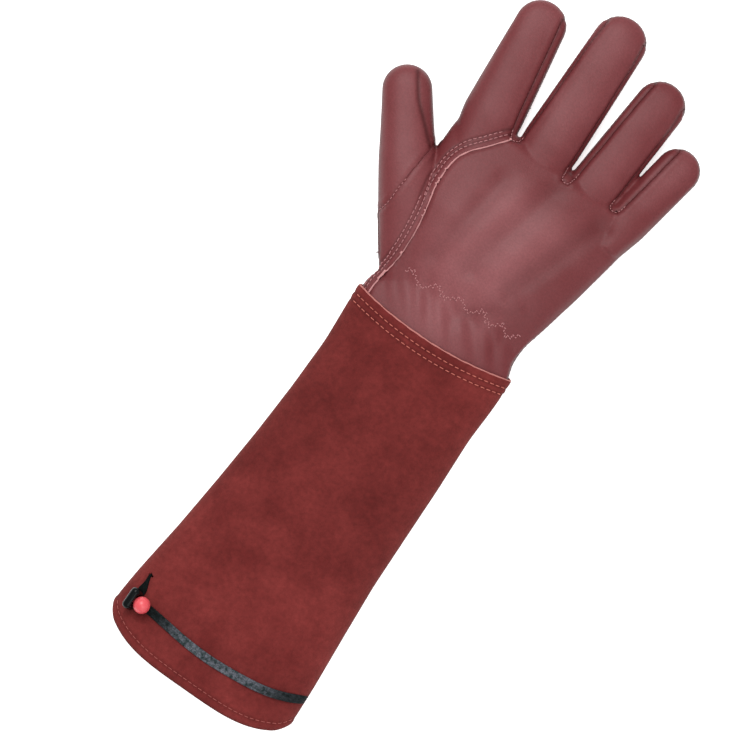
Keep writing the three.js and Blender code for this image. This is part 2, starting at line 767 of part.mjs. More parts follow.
function ballAt(x, radius) {
  const ball = new THREE.SphereGeometry(radius, ROUND_SIDES, ROUND_BANDS);
  return toSolid(seatLock(ball.rotateZ(HALF_TURN / 2).translate(x, 0, STEM_Z)));
}

// The housing's face is hollowed to a cup that the ball goes down into
function lockHousing() {
  const block = toSolid(seatLock(housingBlock()));
  const tunnel = cuffForm(TAPE_TOP + GAP, TAPE).intersect(prism(tapeOutline(GAP), SIDE_SEAM_Z, FAR));
  const boreEnd = CUP_BOTTOM_X - STEM_SEAT - BUTTON_TRAVEL - GAP;
  const bore = toSolid(seatLock(rodAlongX(STEM_DIAMETER + 2 * GAP, boreEnd, HOUSING_FACE_X)));
  const cup = [0, -BUTTON_TRAVEL].map((x) => ballAt(x, BALL_DIAMETER / 2 + GAP));
  return largest(block.subtract(cuffForm(GAP, 0)).subtract(tunnel).subtract(bore).subtract(join(cup)));
}

function lockButton() {
  const stem = rodAlongX(STEM_DIAMETER, CUP_BOTTOM_X - STEM_SEAT, 0);
  return join([ballAt(0, BALL_DIAMETER / 2), toSolid(seatLock(stem))]);
}

// Materials
const LEATHER_LOOK = { color: 0x8b5458, roughness: 0.55, metalness: 0 };
const SUEDE_LOOK = { color: 0x762d2d, roughness: 0.95, metalness: 0 };
const TAPE_LOOK = { color: 0x36454a, roughness: 0.8, metalness: 0 };
const BLACK_LOOK = { color: 0x17181a, roughness: 0.2, metalness: 0 };
const RED_LOOK = { color: 0xe35a64, roughness: 0.35, metalness: 0 };

// Assembly

const gauntlet = new THREE.Group();

function addPiece(name, solid, look) {
  const mesh = new THREE.Mesh(toGeometry(solid), new THREE.MeshStandardMaterial(look));
  mesh.name = name;
  gauntlet.add(mesh);
}

Object.entries(handPieces()).forEach(([name, solid]) => addPiece(name, solid, LEATHER_LOOK));
addPiece("palm_patch", palmPatch(), SUEDE_LOOK);
addPiece("cuff", cuff(), SUEDE_LOOK);
addPiece("drawcord", drawcord(), TAPE_LOOK);
addPiece("lock_housing", lockHousing(), BLACK_LOOK);
addPiece("lock_button", lockButton(), RED_LOOK);

// The frame's origin is under the middle of the whole gauntlet, on the resting plane
const box = new THREE.Box3().setFromObject(gauntlet);
const middle = box.getCenter(new THREE.Vector3());
gauntlet.position.set(-middle.x, -middle.y, -box.min.z);

export default gauntlet;
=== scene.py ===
import math

import bpy
import numpy as np
from mathutils import Matrix, Vector, noise
from mathutils.bvhtree import BVHTree
from mathutils.kdtree import KDTree


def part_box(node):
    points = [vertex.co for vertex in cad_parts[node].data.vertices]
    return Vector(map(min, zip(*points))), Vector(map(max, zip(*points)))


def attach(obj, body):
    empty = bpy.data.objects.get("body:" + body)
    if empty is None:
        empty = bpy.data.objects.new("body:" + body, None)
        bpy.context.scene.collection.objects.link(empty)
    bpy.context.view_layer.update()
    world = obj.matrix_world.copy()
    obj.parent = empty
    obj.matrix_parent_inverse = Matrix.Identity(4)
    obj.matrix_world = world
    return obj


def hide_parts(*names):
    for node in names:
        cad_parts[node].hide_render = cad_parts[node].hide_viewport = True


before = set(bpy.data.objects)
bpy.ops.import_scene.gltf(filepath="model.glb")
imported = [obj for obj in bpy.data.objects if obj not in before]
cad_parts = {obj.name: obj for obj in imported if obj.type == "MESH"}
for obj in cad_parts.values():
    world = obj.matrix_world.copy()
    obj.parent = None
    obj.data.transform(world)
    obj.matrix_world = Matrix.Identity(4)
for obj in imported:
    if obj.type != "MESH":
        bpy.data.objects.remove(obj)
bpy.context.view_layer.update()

# Long-cuffed leather work gauntlet for a right hand, lying palm down. Sizes are in millimetres in the
# glove's own plan: the wrist line is at y = 0, the resting plane at z = 0, +Y runs towards the fingertips
# and the thumb is on the -X side. to_frame moves them into the shared frame.

# Sheet goods and clearances
LEATHER = 1.3
SUEDE = 1.6
TAPE = 1.0
GAP = 0.3
SIDE_SEAM_Z = 8

# Cuff
CUFF_LENGTH = 239.6
MOUTH_WIDTH = 119.6
MOUTH_HEIGHT = 23
CUFF_WRIST_WIDTH = 100
CUFF_WRIST_HEIGHT = 19
MOUTH_CORNER = 13.5
MOUTH_CORNER_POWER = 3.7
MOUTH_ROUNDING = 3.0
WRIST_EDGE_SAG = 6
WRIST_EDGE_RISE = 7
WRIST_EDGE_SKEW = 2
# Points of a ring on the cuff's back and on its front, and the number of rings
CUFF_POINTS = (112, 88)
CUFF_RINGS = 206

# Hand
PALM_LENGTH = 114
PALM_WIDTH = 118
PALM_HEIGHT = 24
PALM_SHIFT = 1.5
TUCK = 18
THUMB_HEIGHT = 20
WEB_ROUND = 7
STRIP_LOW = 5
WEB_HALF_WIDTH = 2.6

# Cord lock and drawcord tape
TAPE_WIDTH = 5.0
TAPE_WIDTH_IN_LOCK = 3.2
HOUSING_THICKNESS = 5.3
HOUSING_LENGTH = 13
HOUSING_HEIGHT = 10
HOUSING_ROUNDING = 2.5
ROUNDING_STEPS = 10
BALL_DIAMETER = 9.5
STEM_DIAMETER = 3
STEM_SEAT = 0.8
CUP_DEPTH = 2.25
BUTTON_TRAVEL = 1.0
LOCK_FROM_MOUTH = 24.6
LOCK_FROM_EDGE = 16.7

# Roundness of the crowned upper side and of the flattened lower side
TOP_POWER = 2.3
BOTTOM_POWER = 5
BOTTOM_FLATTENING = 1.06


def table(columns, rows):
    """Rows with named columns: a list of them, or a dictionary if each row has its own name."""
    names = columns.split()
    if isinstance(rows, dict):
        return {key: dict(zip(names, row)) for key, row in rows.items()}
    return [dict(zip(names, row)) for row in rows]


# Cuff sections from the wrist (0) to the mouth (1). flare and rise go from 0, the wrist's size, to 1,
# the mouth's size; shift is a share of the mouth's half width.
CUFF_ROWS = table(
    "at flare rise shift",
    [
        (0, 0, 0, 0.016),
        (0.07, -0.05, 0.15, 0.028),
        (0.16, -0.17, 0.3, 0.034),
        (0.29, -0.07, 0.45, 0.042),
        (0.42, 0.045, 0.55, 0.036),
        (0.56, 0.22, 0.65, 0.022),
        (0.7, 0.505, 0.8, 0.017),
        (0.83, 0.83, 0.95, 0.006),
        (0.88, 0.915, 0.9, 0.002),
        (0.94, 1, 1, 0),
        (1, 1, 1, 0),
    ],
)

# Palm sections from the wrist line (0) to the finger forks (1). left and right are shares of half the
# palm's width, top is a share of the palm's height.
PALM_ROWS = table(
    "at left right top",
    [
        (0.03, 0.815, 0.789, 0.62),
        (0.08, 0.78, 0.756, 0.6),
        (0.14, 0.785, 0.749, 0.57),
        (0.2, 0.8, 0.759, 0.68),
        (0.29, 0.835, 0.804, 0.84),
        (0.4, 0.88, 0.849, 0.95),
        (0.52, 0.925, 0.899, 1),
        (0.76, 0.985, 0.984, 0.92),
        (0.87, 0.985, 1.014, 0.83),
        (0.945, 0.965, 1.024, 0.76),
        (1, 0.95, 1.014, 0.72),
    ],
)

# Soft folds on the back of the hand, in shares of half the palm's width and of the palm's length; depth and
# width are shares of the palm's height. The scene makes them a little deeper.
FOLDS = table(
    "x0 y0 x1 y1 depth width",
    [
        (0.17, 0.92, -0.08, 0.34, 0.07, 0.3),
        (0.7, 0.86, 0.36, 0.36, 0.07, 0.28),
        (-0.3, 0.78, -0.42, 0.3, 0.05, 0.25),
        (0.52, 0.3, 0.1, 0.12, 0.04, 0.2),
    ],
)
DEEPEST_FOLD = 0.07
FOLD_DEEPENING = 1.4

# Fingers and thumb. rootX and rootY are shares of half the palm's width and of the palm's length; lean is in
# degrees towards the little finger; the two widths are at the fork and near the tip; pale is how strongly a
# painted highlight lightens the middle of its back.
FINGER_COLUMNS = "rootX rootY lean length width tipWidth height pale"
FINGERS = table(
    FINGER_COLUMNS,
    {
        "index": (-0.68, 0.8, -7, 94.8, 33.9, 28.4, 17.5, 0.4),
        "middle": (-0.112, 0.8, -1.3, 111.8, 33, 30, 18, 0.4),
        "ring": (0.41, 0.8, 3.8, 95.2, 29.4, 28, 17, 0.35),
        "little": (0.817, 0.8, 9.5, 70.8, 24, 24.6, 17, 0.3),
    },
)
THUMB = table(FINGER_COLUMNS, [(-0.428, 0.073, -35, 126.4, 32.4, 27.6, THUMB_HEIGHT, 0.4)])[0]

# Sections along a finger from its root (0) to where its tip's rounding starts (1): its width as a share, how
# far it has narrowed to the tip's width, its height as a share, and how much of the hand's lift it keeps
FINGER_ROWS = table(
    "at wide narrow high lift",
    [
        (0, 0.84, 0, 0.98, 1),
        (0.3, 1, 0, 1, 1),
        (0.5, 1, 0.25, 0.96, 0.8),
        (0.75, 1, 0.6, 0.9, 0.3),
        (1, 1, 1, 0.84, 0),
    ],
)
THUMB_ROWS = table(
    "at wide narrow high lift",
    [
        (0, 0.96, 0.1, 0.56, 1),
        (0.25, 1, 0.1, 0.8, 1),
        (0.45, 1, 0, 0.98, 1),
        (0.65, 1, 0.1, 1, 0.7),
        (0.82, 1, 0.6, 0.92, 0.3),
        (1, 1, 1, 0.86, 0),
    ],
)

# Thin webs where the lower parts of neighbouring fingers touch, between two places in plan
WEBS = table(
    "x0 y0 x1 y1 half low high",
    [
        (43.2, 107, 43, 133, 1.7, 5.2, 11),
        (11.8, 104, 11.7, 116, 1.7, 5.2, 11),
    ],
)

# Side strips between neighbouring fingers: how far each reaches onto the backs of its two fingers, and how
# deep its web goes into the palm
STRIPS = table(
    "first second onFirst onSecond web",
    {
        "fourchette_index_middle": ("index", "middle", 4.2, 1.6, 3.5),
        "fourchette_middle_ring": ("middle", "ring", 1.6, 3.4, 7),
        "fourchette_ring_little": ("ring", "little", 1.6, 5.4, 4),
    },
)
# Along a finger: its share from the root, and the share of the strip's reach onto its back
STRIP_ROWS = table("at reach", [(0.3, 0.9), (0.6, 1), (0.8, 1), (0.94, 0.5)])
BEYOND_TIP = 1.6
PANELS = ["palm_panel", "back_panel", "thumb", "middle_finger_front", "ring_finger_front", *STRIPS]

# Seams and the patch's borders in plan, in shares of half the palm's width and of the palm's length
KEYSTONE_SEAM = [(-0.74, -0.2), (-0.735, 0.04), (-0.69, 0.2), (-0.72, 0.4)]
KEYSTONE_SEAM += [(-0.8, 0.6), (-0.775, 0.76), (-0.6, 0.88), (-0.415, 1.0)]
INSET_SEAM = [(-0.42, 0.985), (-0.37, 0.93), (-0.25, 0.925), (0, 0.945)]
INSET_SEAM += [(0.3, 0.95), (0.55, 0.95), (0.66, 0.965)]
THUMB_SEAM_FRONT = [(-1.01, 0.775), (-0.82, 0.74), (-0.66, 0.67), (-0.52, 0.53), (-0.42, 0.4)]
THUMB_SEAM_FRONT += [(-0.385, 0.29), (-0.47, 0.18), (-0.66, 0.125), (-0.85, 0.145), (-1.1, 0.23)]
THUMB_SEAM_BACK = [(-1.01, 0.775), (-1.05, 0.55), (-1.08, 0.34), (-1.2, 0.3)]
PATCH_TOP = [(-0.75, 0.8), (-0.6, 0.875), (-0.4, 0.9), (0, 0.92)]
PATCH_TOP += [(0.35, 0.925), (0.62, 0.915), (0.8, 0.925), (0.955, 0.88)]
PATCH_BOTTOM = [(-0.75, 0.8), (-0.72, 0.76), (-0.4, 0.735), (-0.05, 0.68)]
PATCH_BOTTOM += [(0.25, 0.625), (0.55, 0.55), (0.8, 0.44), (0.955, 0.88)]

# Sharp crease along the thumb on the back, and zigzag stitching over the elastic on the back of the wrist
THUMB_CREASE = [(-89.2, 111.9), (-80.1, 99.7), (-70.7, 91.3), (-59.9, 81.6)]
ZIGZAG = [(-32.4, 17.7), (-28.7, 21.1), (-21.8, 15.8), (-19.0, 15.6), (-12.4, 22.1)]
ZIGZAG += [(-6.6, 17.5), (2.8, 23.3), (7.6, 19.1), (10.5, 19.6), (16.4, 24.9)]
ZIGZAG += [(20.9, 20.0), (23.7, 19.9), (29.0, 25.0), (34.0, 19.5), (40.4, 25.1)]
ZIGZAG_STEP = 1.5
ZIGZAG_SWING = 2.2

# Route of the drawcord tape: across is a share of half the mouth's width, fromMouth a length, and width goes
# from 0, the width in the lock, to 1, the full width.
TAPE_ROUTE = table(
    "across fromMouth width",
    [
        (-0.844, 40.4, 0),
        (-0.829, 34, 0),
        (-0.823, 28.6, 0),
        (-0.785, 25.4, 0.1),
        (-0.73, 24.6, 0.5),
        (-0.655, 24.5, 1),
        (-0.48, 23.4, 1),
        (-0.24, 21.8, 1),
        (0.05, 21.2, 1),
        (0.37, 22.6, 1),
        (0.63, 25, 1),
        (0.86, 29.6, 1),
        (1.08, 36, 1),
    ],
)
# The tape carries a painted shadow of the lock and ball up to here beside the lock, and is darker from here
# at its other end
TAPE_PAINTED_SHADOW_TO = 24
TAPE_DARK_FROM = 38
TAPE_STEP = 0.7
SLIT_TAPER = 9
SLIT_HALF = (1.2, 0.9)

# How the leather lies beside each kind of seam: the piece that laps over, how far it stands up and the other
# one lies down, how far that reaches, and how much painted shade darkens the seam's groove
SEAM_STEPS = table(
    "over up down reach dark",
    {
        "keystone": ("palm_panel", 0.5, 0.45, 2.6, 0.8),
        "thumb": ("palm_panel", 0.35, 0.5, 2.4, 0.8),
        "inset": ("palm_panel", 0.15, 0.4, 2.2, 0.7),
        "thumb_back": (None, 0, 0.25, 1.6, 0.25),
        "turned": (None, 0, 0.32, 1.3, 0.55),
    },
)
# Rows of stitches, by their distance from a lapped seam, from the cuff's edges and from the patch's border
STITCHED_AT = {"keystone": (3.0, 5.5), "thumb": (2.6,), "inset": (2.2,)}
WRIST_ROWS = (5.3, 9.3)
HEM_ROW = 5.0
PATCH_ROWS = (1.8, 4.2)
THUMB_STITCHES_TO = 61
FORK_STITCHES_TO = 117
# The thumb's stitches on the palm's side, and the raw edges there, stay below this height
UNSEEN_BELOW = 2.2
# Distance between the places at which a row of stitches is followed
FINE_STEP = 0.25
# A seam with fewer points than this gets no thread
SHORTEST_SEAM = 15
# Half of the slit seen between two panels
SEAM_SLIT = 0.02

VOXEL = 0.8
RELAX_ROUNDS = 6
SMALLEST_PANEL = 150

HALF_PALM = PALM_WIDTH / 2
HALF_MOUTH = MOUTH_WIDTH / 2
HALF_WRIST = CUFF_WRIST_WIDTH / 2
HAND_LIFT = SUEDE + GAP
TAPE_TOP = GAP + TAPE
MM = 0.001
FAR = 400

# The glove's plan is placed by the cuff: its middle across, and its mouth edge
cuff_low, cuff_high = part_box("cuff")
SHIFT = np.array([(cuff_low.x + cuff_high.x) / 2 / MM, cuff_low.y / MM + CUFF_LENGTH, 0])


def to_frame(points):
    return (np.asarray(points, float) + SHIFT) * MM


def add_object(name, data):
    thing = bpy.data.objects.new(name, data)
    bpy.context.collection.objects.link(thing)
    return thing


# Camera and light
VIEW_WIDTH = 404.8
CAMERA_HEIGHT = 4.0
AIM = to_frame([-18.07, -37.49, 8])
camera = add_object("camera", bpy.data.cameras.new("camera"))
bpy.context.scene.camera = camera
camera.location = (AIM[0], AIM[1], CAMERA_HEIGHT)
camera.rotation_euler = (0, 0, math.radians(35))
camera.data.lens = camera.data.sensor_width * (CAMERA_HEIGHT - AIM[2]) / (VIEW_WIDTH * MM)
camera.data.clip_end = 10

world = bpy.data.worlds.new("studio")
bpy.context.scene.world = world
world.use_nodes = True
world.node_tree.nodes["Background"].inputs["Color"].default_value = (1, 1, 1, 1)
world.node_tree.nodes["Background"].inputs["Strength"].default_value = 0.6
bpy.context.scene.view_settings.view_transform = "Standard"


def area_light(name, location, aim, size, watts):
    light = add_object(name, bpy.data.lights.new(name, "AREA"))
    light.data.shape = "DISK"
    light.data.size = size
    light.data.energy = watts
    light.location = location
    light.rotation_euler = (Vector(aim) - Vector(location)).to_track_quat("-Z", "Y").to_euler()


area_light("key", (-0.5, 0.4, 1.35), (0, 0, 0), 0.8, 11)
area_light("fill", (0.7, -0.5, 1.2), (0, 0, 0), 1.0, 6)
area_light("glint", (-0.5, 0.5, 1.1), (0, -0.2, 0), 0.06, 2.5)
area_light("second_glint", (-0.2, 0.05, 1.5), (0, -0.2, 0), 0.05, 1.5)


# Materials

WHITE = (255, 255, 255)


def linear(rgb):
    return tuple(((c / 255 + 0.055) / 1.055) ** 2.4 if c > 10 else c / 255 / 12.92 for c in rgb) + (1,)


def shader(name, rgb, roughness):
    material = bpy.data.materials.new(name)
    material.use_nodes = True
    material.diffuse_color = linear(rgb)
    bsdf = material.node_tree.nodes["Principled BSDF"]
    bsdf.inputs["Base Color"].default_value = linear(rgb)
    bsdf.inputs["Roughness"].default_value = roughness
    return material, material.node_tree, bsdf


def texture(tree, kind, scale):
    """Texture node in the shared frame, with its size given as how many cells fit in a metre."""
    node = tree.nodes.new(kind)
    node.inputs["Scale"].default_value = scale
    place = tree.nodes.new("ShaderNodeTexCoord")
    tree.links.new(place.outputs["Object"], node.inputs["Vector"])
    return node


def clouds(tree, scale, detail, roughness=0.5):
    node = texture(tree, "ShaderNodeTexNoise", scale)
    node.inputs["Detail"].default_value = detail
    node.inputs["Roughness"].default_value = roughness
    return node.outputs["Fac"]


def attribute(tree, name):
    node = tree.nodes.new("ShaderNodeAttribute")
    node.attribute_name = name
    return node.outputs["Fac"]


def average(tree, first, second):
    node = tree.nodes.new("ShaderNodeMix")
    node.inputs[0].default_value = 0.5
    tree.links.new(first, node.inputs[2])
    tree.links.new(second, node.inputs[3])
    return node.outputs[0]


def blend(tree, factor, start, end, first, second):
    """Goes from the first colour to the second as the factor goes from start to end."""
    ramp = tree.nodes.new("ShaderNodeValToRGB")
    for stop, place, rgb in zip(ramp.color_ramp.elements, (start, end), (first, second)):
        stop.position = place
        stop.color = linear(rgb)
    tree.links.new(factor, ramp.inputs["Fac"])
    return ramp.outputs["Color"]


def tinted(tree, colour, *blend_of):
    """The colour multiplied by a blend of two others."""
    node = tree.nodes.new("ShaderNodeMix")
    node.data_type = "RGBA"
    node.blend_type = "MULTIPLY"
    node.inputs[0].default_value = 1
    tree.links.new(colour, node.inputs[6])
    tree.links.new(blend(tree, *blend_of), node.inputs[7])
    return node.outputs[2]


def with_painted_shade(tree, colour, painted_seam_shade_tint, painted_side_shade_tint):
    """The colour darkened by painted shade along the seams and where the skin faces sideways."""
    colour = tinted(tree, colour, attribute(tree, "seam"), 0, 1, WHITE, painted_seam_shade_tint)
    return tinted(tree, colour, attribute(tree, "side"), 0.1, 0.9, WHITE, painted_side_shade_tint)


def relief(tree, bsdf, layers):
    """Bump from several heights, each with its depth in millimetres."""
    normal = None
    for height, depth in layers:
        bump = tree.nodes.new("ShaderNodeBump")
        bump.inputs["Distance"].default_value = depth * MM
        tree.links.new(height, bump.inputs["Height"])
        if normal:
            tree.links.new(normal, bump.inputs["Normal"])
        normal = bump.outputs["Normal"]
    tree.links.new(normal, bsdf.inputs["Normal"])


def leather_material(name, dark, light):
    material, tree, bsdf = shader(name, light, 0.5)
    # The colour goes from the dark to the light leather by random tone averaged with a painted highlight
    painted_highlight = average(tree, clouds(tree, 30, 2), attribute(tree, "painted_highlight"))
    colour = blend(tree, painted_highlight, 0.33, 0.74, dark, light)
    colour = tinted(tree, colour, clouds(tree, 900, 2, 0.6), 0.3, 0.7, (232, 232, 232), WHITE)
    # Painted shade along the seams and where the skin faces sideways
    colour = with_painted_shade(tree, colour, (150, 96, 100), (170, 126, 128))
    tree.links.new(colour, bsdf.inputs["Base Color"])
    grain = texture(tree, "ShaderNodeTexVoronoi", 1500).outputs["Distance"]
    pores = clouds(tree, 2600, 3, 0.65)
    creases = clouds(tree, 150, 4, 0.6)
    relief(tree, bsdf, [(grain, 0.05), (pores, 0.06), (creases, 0.12)])
    bsdf.inputs["Specular IOR Level"].default_value = 0.28
    return material


def suede_material(name, dark, light):
    material, tree, bsdf = shader(name, light, 0.92)
    colour = blend(tree, clouds(tree, 38, 5, 0.62), 0.34, 0.68, dark, light)
    colour = tinted(tree, colour, clouds(tree, 330, 4, 0.7), 0.3, 0.72, (214, 206, 206), WHITE)
    # Painted shade along the stitch rows, the sides, the mouth's edge and beside the tape, and where the
    # suede faces sideways
    colour = with_painted_shade(tree, colour, (168, 140, 140), (176, 140, 140))
    tree.links.new(colour, bsdf.inputs["Base Color"])
    relief(tree, bsdf, [(clouds(tree, 420, 3, 0.6), 0.25), (clouds(tree, 2400, 3, 0.7), 0.18)])
    bsdf.inputs["Specular IOR Level"].default_value = 0.2
    bsdf.inputs["Sheen Weight"].default_value = 0.25
    bsdf.inputs["Sheen Roughness"].default_value = 0.6
    bsdf.inputs["Sheen Tint"].default_value = linear((196, 120, 112))
    return material


def thread_material(name, rgb):
    material, tree, bsdf = shader(name, rgb, 0.7)
    relief(tree, bsdf, [(clouds(tree, 1800, 1), 0.1)])
    return material


def tape_material():
    material, tree, bsdf = shader("drawcord_tape", (58, 72, 76), 0.75)
    weave = clouds(tree, 1400, 2)
    colour = blend(tree, weave, 0.3, 0.7, (60, 63, 68), (102, 105, 114))
    colour = tinted(tree, colour, clouds(tree, 420, 2), 0.35, 0.6, (120, 150, 140), WHITE)
    # Painted shadow of the lock and ball beside it, and darker towards the tape's other end
    colour = tinted(tree, colour, attribute(tree, "dark"), 0, 1, WHITE, (42, 64, 58))
    tree.links.new(colour, bsdf.inputs["Base Color"])
    relief(tree, bsdf, [(weave, 0.12)])
    bsdf.inputs["Specular IOR Level"].default_value = 0.1
    return material


def plastic_material(name, rgb, roughness, refraction):
    material, tree, bsdf = shader(name, rgb, roughness)
    relief(tree, bsdf, [(clouds(tree, 260, 1), 0.03)])
    bsdf.inputs["IOR"].default_value = refraction
    return material


HAND_LEATHER = leather_material("hand_leather", (106, 43, 46), (132, 73, 76))
CUFF_SUEDE = suede_material("cuff_suede", (101, 30, 29), (125, 46, 44))
PATCH_SUEDE = suede_material("patch_suede", (100, 30, 29), (128, 48, 45))
PALE_THREAD = thread_material("pale_thread", (164, 106, 108))
WARM_THREAD = thread_material("warm_thread", (184, 98, 84))
HEM_THREAD = thread_material("hem_thread", (152, 74, 67))
DEEP_THREAD = thread_material("deep_thread", (142, 82, 86))
RAW_EDGE = thread_material("raw_edge", (180, 124, 124))
CUFF_RAW_EDGE = thread_material("cuff_raw_edge", (172, 106, 100))
DRAWCORD_TAPE = tape_material()
LOCK_BLACK = plastic_material("lock_black", (8, 11, 12), 0.2, 1.22)
LOCK_RED = plastic_material("lock_red", (212, 72, 80), 0.42, 1.6)
FLOOR_WHITE, floor_tree, floor_bsdf = shader("floor_white", (250, 250, 250), 0.9)
floor_bsdf.inputs["Emission Color"].default_value = (1, 1, 1, 1)
floor_bsdf.inputs["Emission Strength"].default_value = 0.7

STITCHES = table(
    "pitch length radius thread",
    {
        "keystone": (2.9, 2.5, 0.28, PALE_THREAD),
        "thumb": (2.9, 2.5, 0.28, DEEP_THREAD),
        "inset": (2.9, 2.5, 0.28, DEEP_THREAD),
        "thumb_back": (2.6, 1.8, 0.24, PALE_THREAD),
        "zigzag": (2.0, 1.5, 0.34, PALE_THREAD),
        "fork": (1.9, 1.5, 0.24, PALE_THREAD),
        "cuff": (3.6, 3.0, 0.26, WARM_THREAD),
        "hem": (3.3, 2.9, 0.2, HEM_THREAD),
        "patch": (2.9, 2.5, 0.25, WARM_THREAD),
    },
)
# A stitch dips into the skin at its ends: heights at five places along it, in shares of its radius
STITCH_ARCH = np.array([-0.9, 0.25, 0.55, 0.25, -0.9])[:, None]
STITCH_TAPER = (0.35, 1, 1, 1, 0.35)
RAW_EDGES = table(
    "width thickness lift material",
    {"hand": (1.45, 0.8, 0.1, RAW_EDGE), "cuff": (0.9, 0.7, -0.05, CUFF_RAW_EDGE)},
)


# Mesh helpers


def mesh_of(name, points, faces):
    mesh = bpy.data.meshes.new(name)
    mesh.from_pydata([tuple(p) for p in points], [], [tuple(int(i) for i in f) for f in faces])
    mesh.update()
    return mesh


def add_piece(name, mesh, material, slot, node=None, body="gauntlet"):
    """A finished piece of the glove."""
    mesh.shade_smooth()
    mesh.materials.clear()
    mesh.materials.append(material)
    piece = add_object(name, mesh)
    if node:
        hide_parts(node)
    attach(piece, body)
    return piece


def plan_piece(name, points, faces, *what):
    """A piece from points in millimetres in the glove's own plan."""
    return add_piece(name, mesh_of(name, to_frame(points), faces), *what)


def applied(thing):
    """The object's mesh with its modifiers applied; the object itself goes."""
    mesh = bpy.data.meshes.new_from_object(thing.evaluated_get(bpy.context.evaluated_depsgraph_get()))
    bpy.data.objects.remove(thing)
    return mesh


def add_attribute(piece, name, values):
    layer = piece.data.attributes.new(name, "FLOAT", "POINT")
    layer.data.foreach_set("value", np.asarray(values, np.float32))


def solidify(piece, thickness, inwards=True):
    modifier = piece.modifiers.new("thickness", "SOLIDIFY")
    modifier.thickness = thickness * MM
    modifier.offset = -1 if inwards else 1
    modifier.use_rim = True


def skin_tree(points, faces):
    return BVHTree.FromPolygons([tuple(p) for p in points], [tuple(int(i) for i in f) for f in faces])


def point_tree(points):
    tree = KDTree(len(points))
    for i, point in enumerate(points):
        tree.insert(point, i)
    tree.balance()
    return tree


def painted_side_shade(normals):
    """How much painted shade darkens the skin: from 0 where it faces up or down to 1 where it faces sideways.
    """
    return np.clip(1 - np.abs(normals[:, 2]), 0, 1) ** 2


def unit(vectors):
    return vectors / np.maximum(np.linalg.norm(vectors, axis=-1, keepdims=True), 1e-9)


def bell(distance, width):
    """From 1 at no distance to almost 0 at twice the width."""
    return np.exp(-((distance / width) ** 2))


def rising(value, span):
    """The value as a share of the span, from 0 to 1."""
    return np.clip(value / span, 0, 1)


def wobble(points, size, seed):
    """Smooth noise from -1 to 1 at each point; size is the distance between its bumps."""
    shift = Vector((seed * 17.3, seed * 5.1, seed * 9.7))
    return np.array([noise.noise(Vector(p) / size + shift) for p in points])


def ring_faces(rows, columns, closed=True):
    """Quads of a grid whose points run row by row."""
    faces = []
    for first in range(0, (rows - 1) * columns, columns):
        for c in range(columns if closed else columns - 1):
            a = first + c
            b = first + (c + 1) % columns
            faces.append((a, b, b + columns, a + columns))
    return faces


def closed_form(rings, turn=1):
    """Points and faces of a closed skin through rings of points. With turn=-1 its caps are turned over."""
    rows, columns = len(rings), len(rings[0])
    faces = ring_faces(rows, columns)
    faces.append(tuple(range(columns))[::turn])
    faces.append(tuple(range((rows - 1) * columns, rows * columns))[::-turn])
    return np.concatenate(rings), faces


def outward(points, faces):
    """The faces of a closed form, all turned over if it is inside out."""
    volume = 0
    for f in faces:
        for i in range(1, len(f) - 1):
            volume += np.dot(points[f[0]], np.cross(points[f[i]], points[f[i + 1]]))
    return faces if volume > 0 else [f[::-1] for f in faces]


def joined(forms):
    """Points and faces of several forms as one."""
    points, faces = [], []
    for form_points, form_faces in forms:
        faces += [tuple(int(i) + len(points) for i in f) for f in form_faces]
        points += list(form_points)
    return np.array(points), faces


def circle(sides):
    """Cosines and sines of a ring's corners, as columns."""
    angle = 2 * np.pi * np.arange(sides)[:, None] / sides
    return np.cos(angle), np.sin(angle)


def spline(points, count):
    """Smooth curve through the points, with the given number of steps."""
    points = np.asarray(points, float)
    last = len(points) - 1
    at = np.linspace(0, last, count + 1)
    i = np.minimum(at.astype(int), last - 1)
    t = (at - i)[:, None]
    p0, p1 = points[np.maximum(i - 1, 0)], points[i]
    p2, p3 = points[i + 1], points[np.minimum(i + 2, last)]
    pull0, pull1 = (p2 - p0) / 2, (p3 - p1) / 2
    bend = (2 * p1 - 2 * p2 + pull0 + pull1) * t**3 + (-3 * p1 + 3 * p2 - 2 * pull0 - pull1) * t**2
    return bend + pull0 * t + p1


def line_at(at, places, line):
    """The line's values at new places along it."""
    return np.stack([np.interp(at, places, line[:, k]) for k in range(line.shape[1])], axis=1)


def reach_of(line):
    """Length along the line up to each of its points."""
    return np.concatenate([[0], np.cumsum(np.linalg.norm(np.diff(line, axis=0), axis=1))])


def resample(line, step):
    """The same line with points a step apart."""
    line = np.asarray(line, float)
    reach = reach_of(line)
    count = max(2, int(round(reach[-1] / step)) + 1)
    return line_at(np.linspace(0, reach[-1], count), reach, line)


def smooth_line(line, rounds):
    for _ in range(rounds):
        line[1:-1] = (line[:-2] + 2 * line[1:-1] + line[2:]) / 4
    return line


def column(rows, key, at, soft):
    """Value of a table's column, with its corners rounded over a distance."""
    places = [row["at"] for row in rows]
    values = [row[key] for row in rows]
    total = 0
    weight = 0
    for step in np.linspace(-0.9, 0.9, 7):
        share = math.cos(step * math.pi / 2) ** 2
        total = total + share * np.interp(at + soft * step, places, values)
        weight += share
    return total / weight


def crown(across):
    """Height of the crowned upper side at a share of its half width, from 0 to 1."""
    return (1 - np.abs(across) ** TOP_POWER) ** (1 / TOP_POWER)


def sole(across):
    """Depth of the flattened lower side at a share of its half width, from 0 to 1."""
    return np.minimum(1, (1 - np.abs(across) ** BOTTOM_POWER) ** (1 / BOTTOM_POWER) * BOTTOM_FLATTENING)


def unit_section(top_points, bottom_points):
    top = np.cos(np.pi * np.arange(top_points) / top_points)
    bottom = -np.cos(np.pi * np.arange(bottom_points) / bottom_points)
    return np.concatenate([top, bottom]), np.concatenate([crown(top), -sole(bottom)])


def section_height(rise, low, high):
    above = SIDE_SEAM_Z + rise * (high - SIDE_SEAM_Z)
    below = SIDE_SEAM_Z + rise * (SIDE_SEAM_Z - low)
    return np.where(rise > 0, above, below)


# Cuff


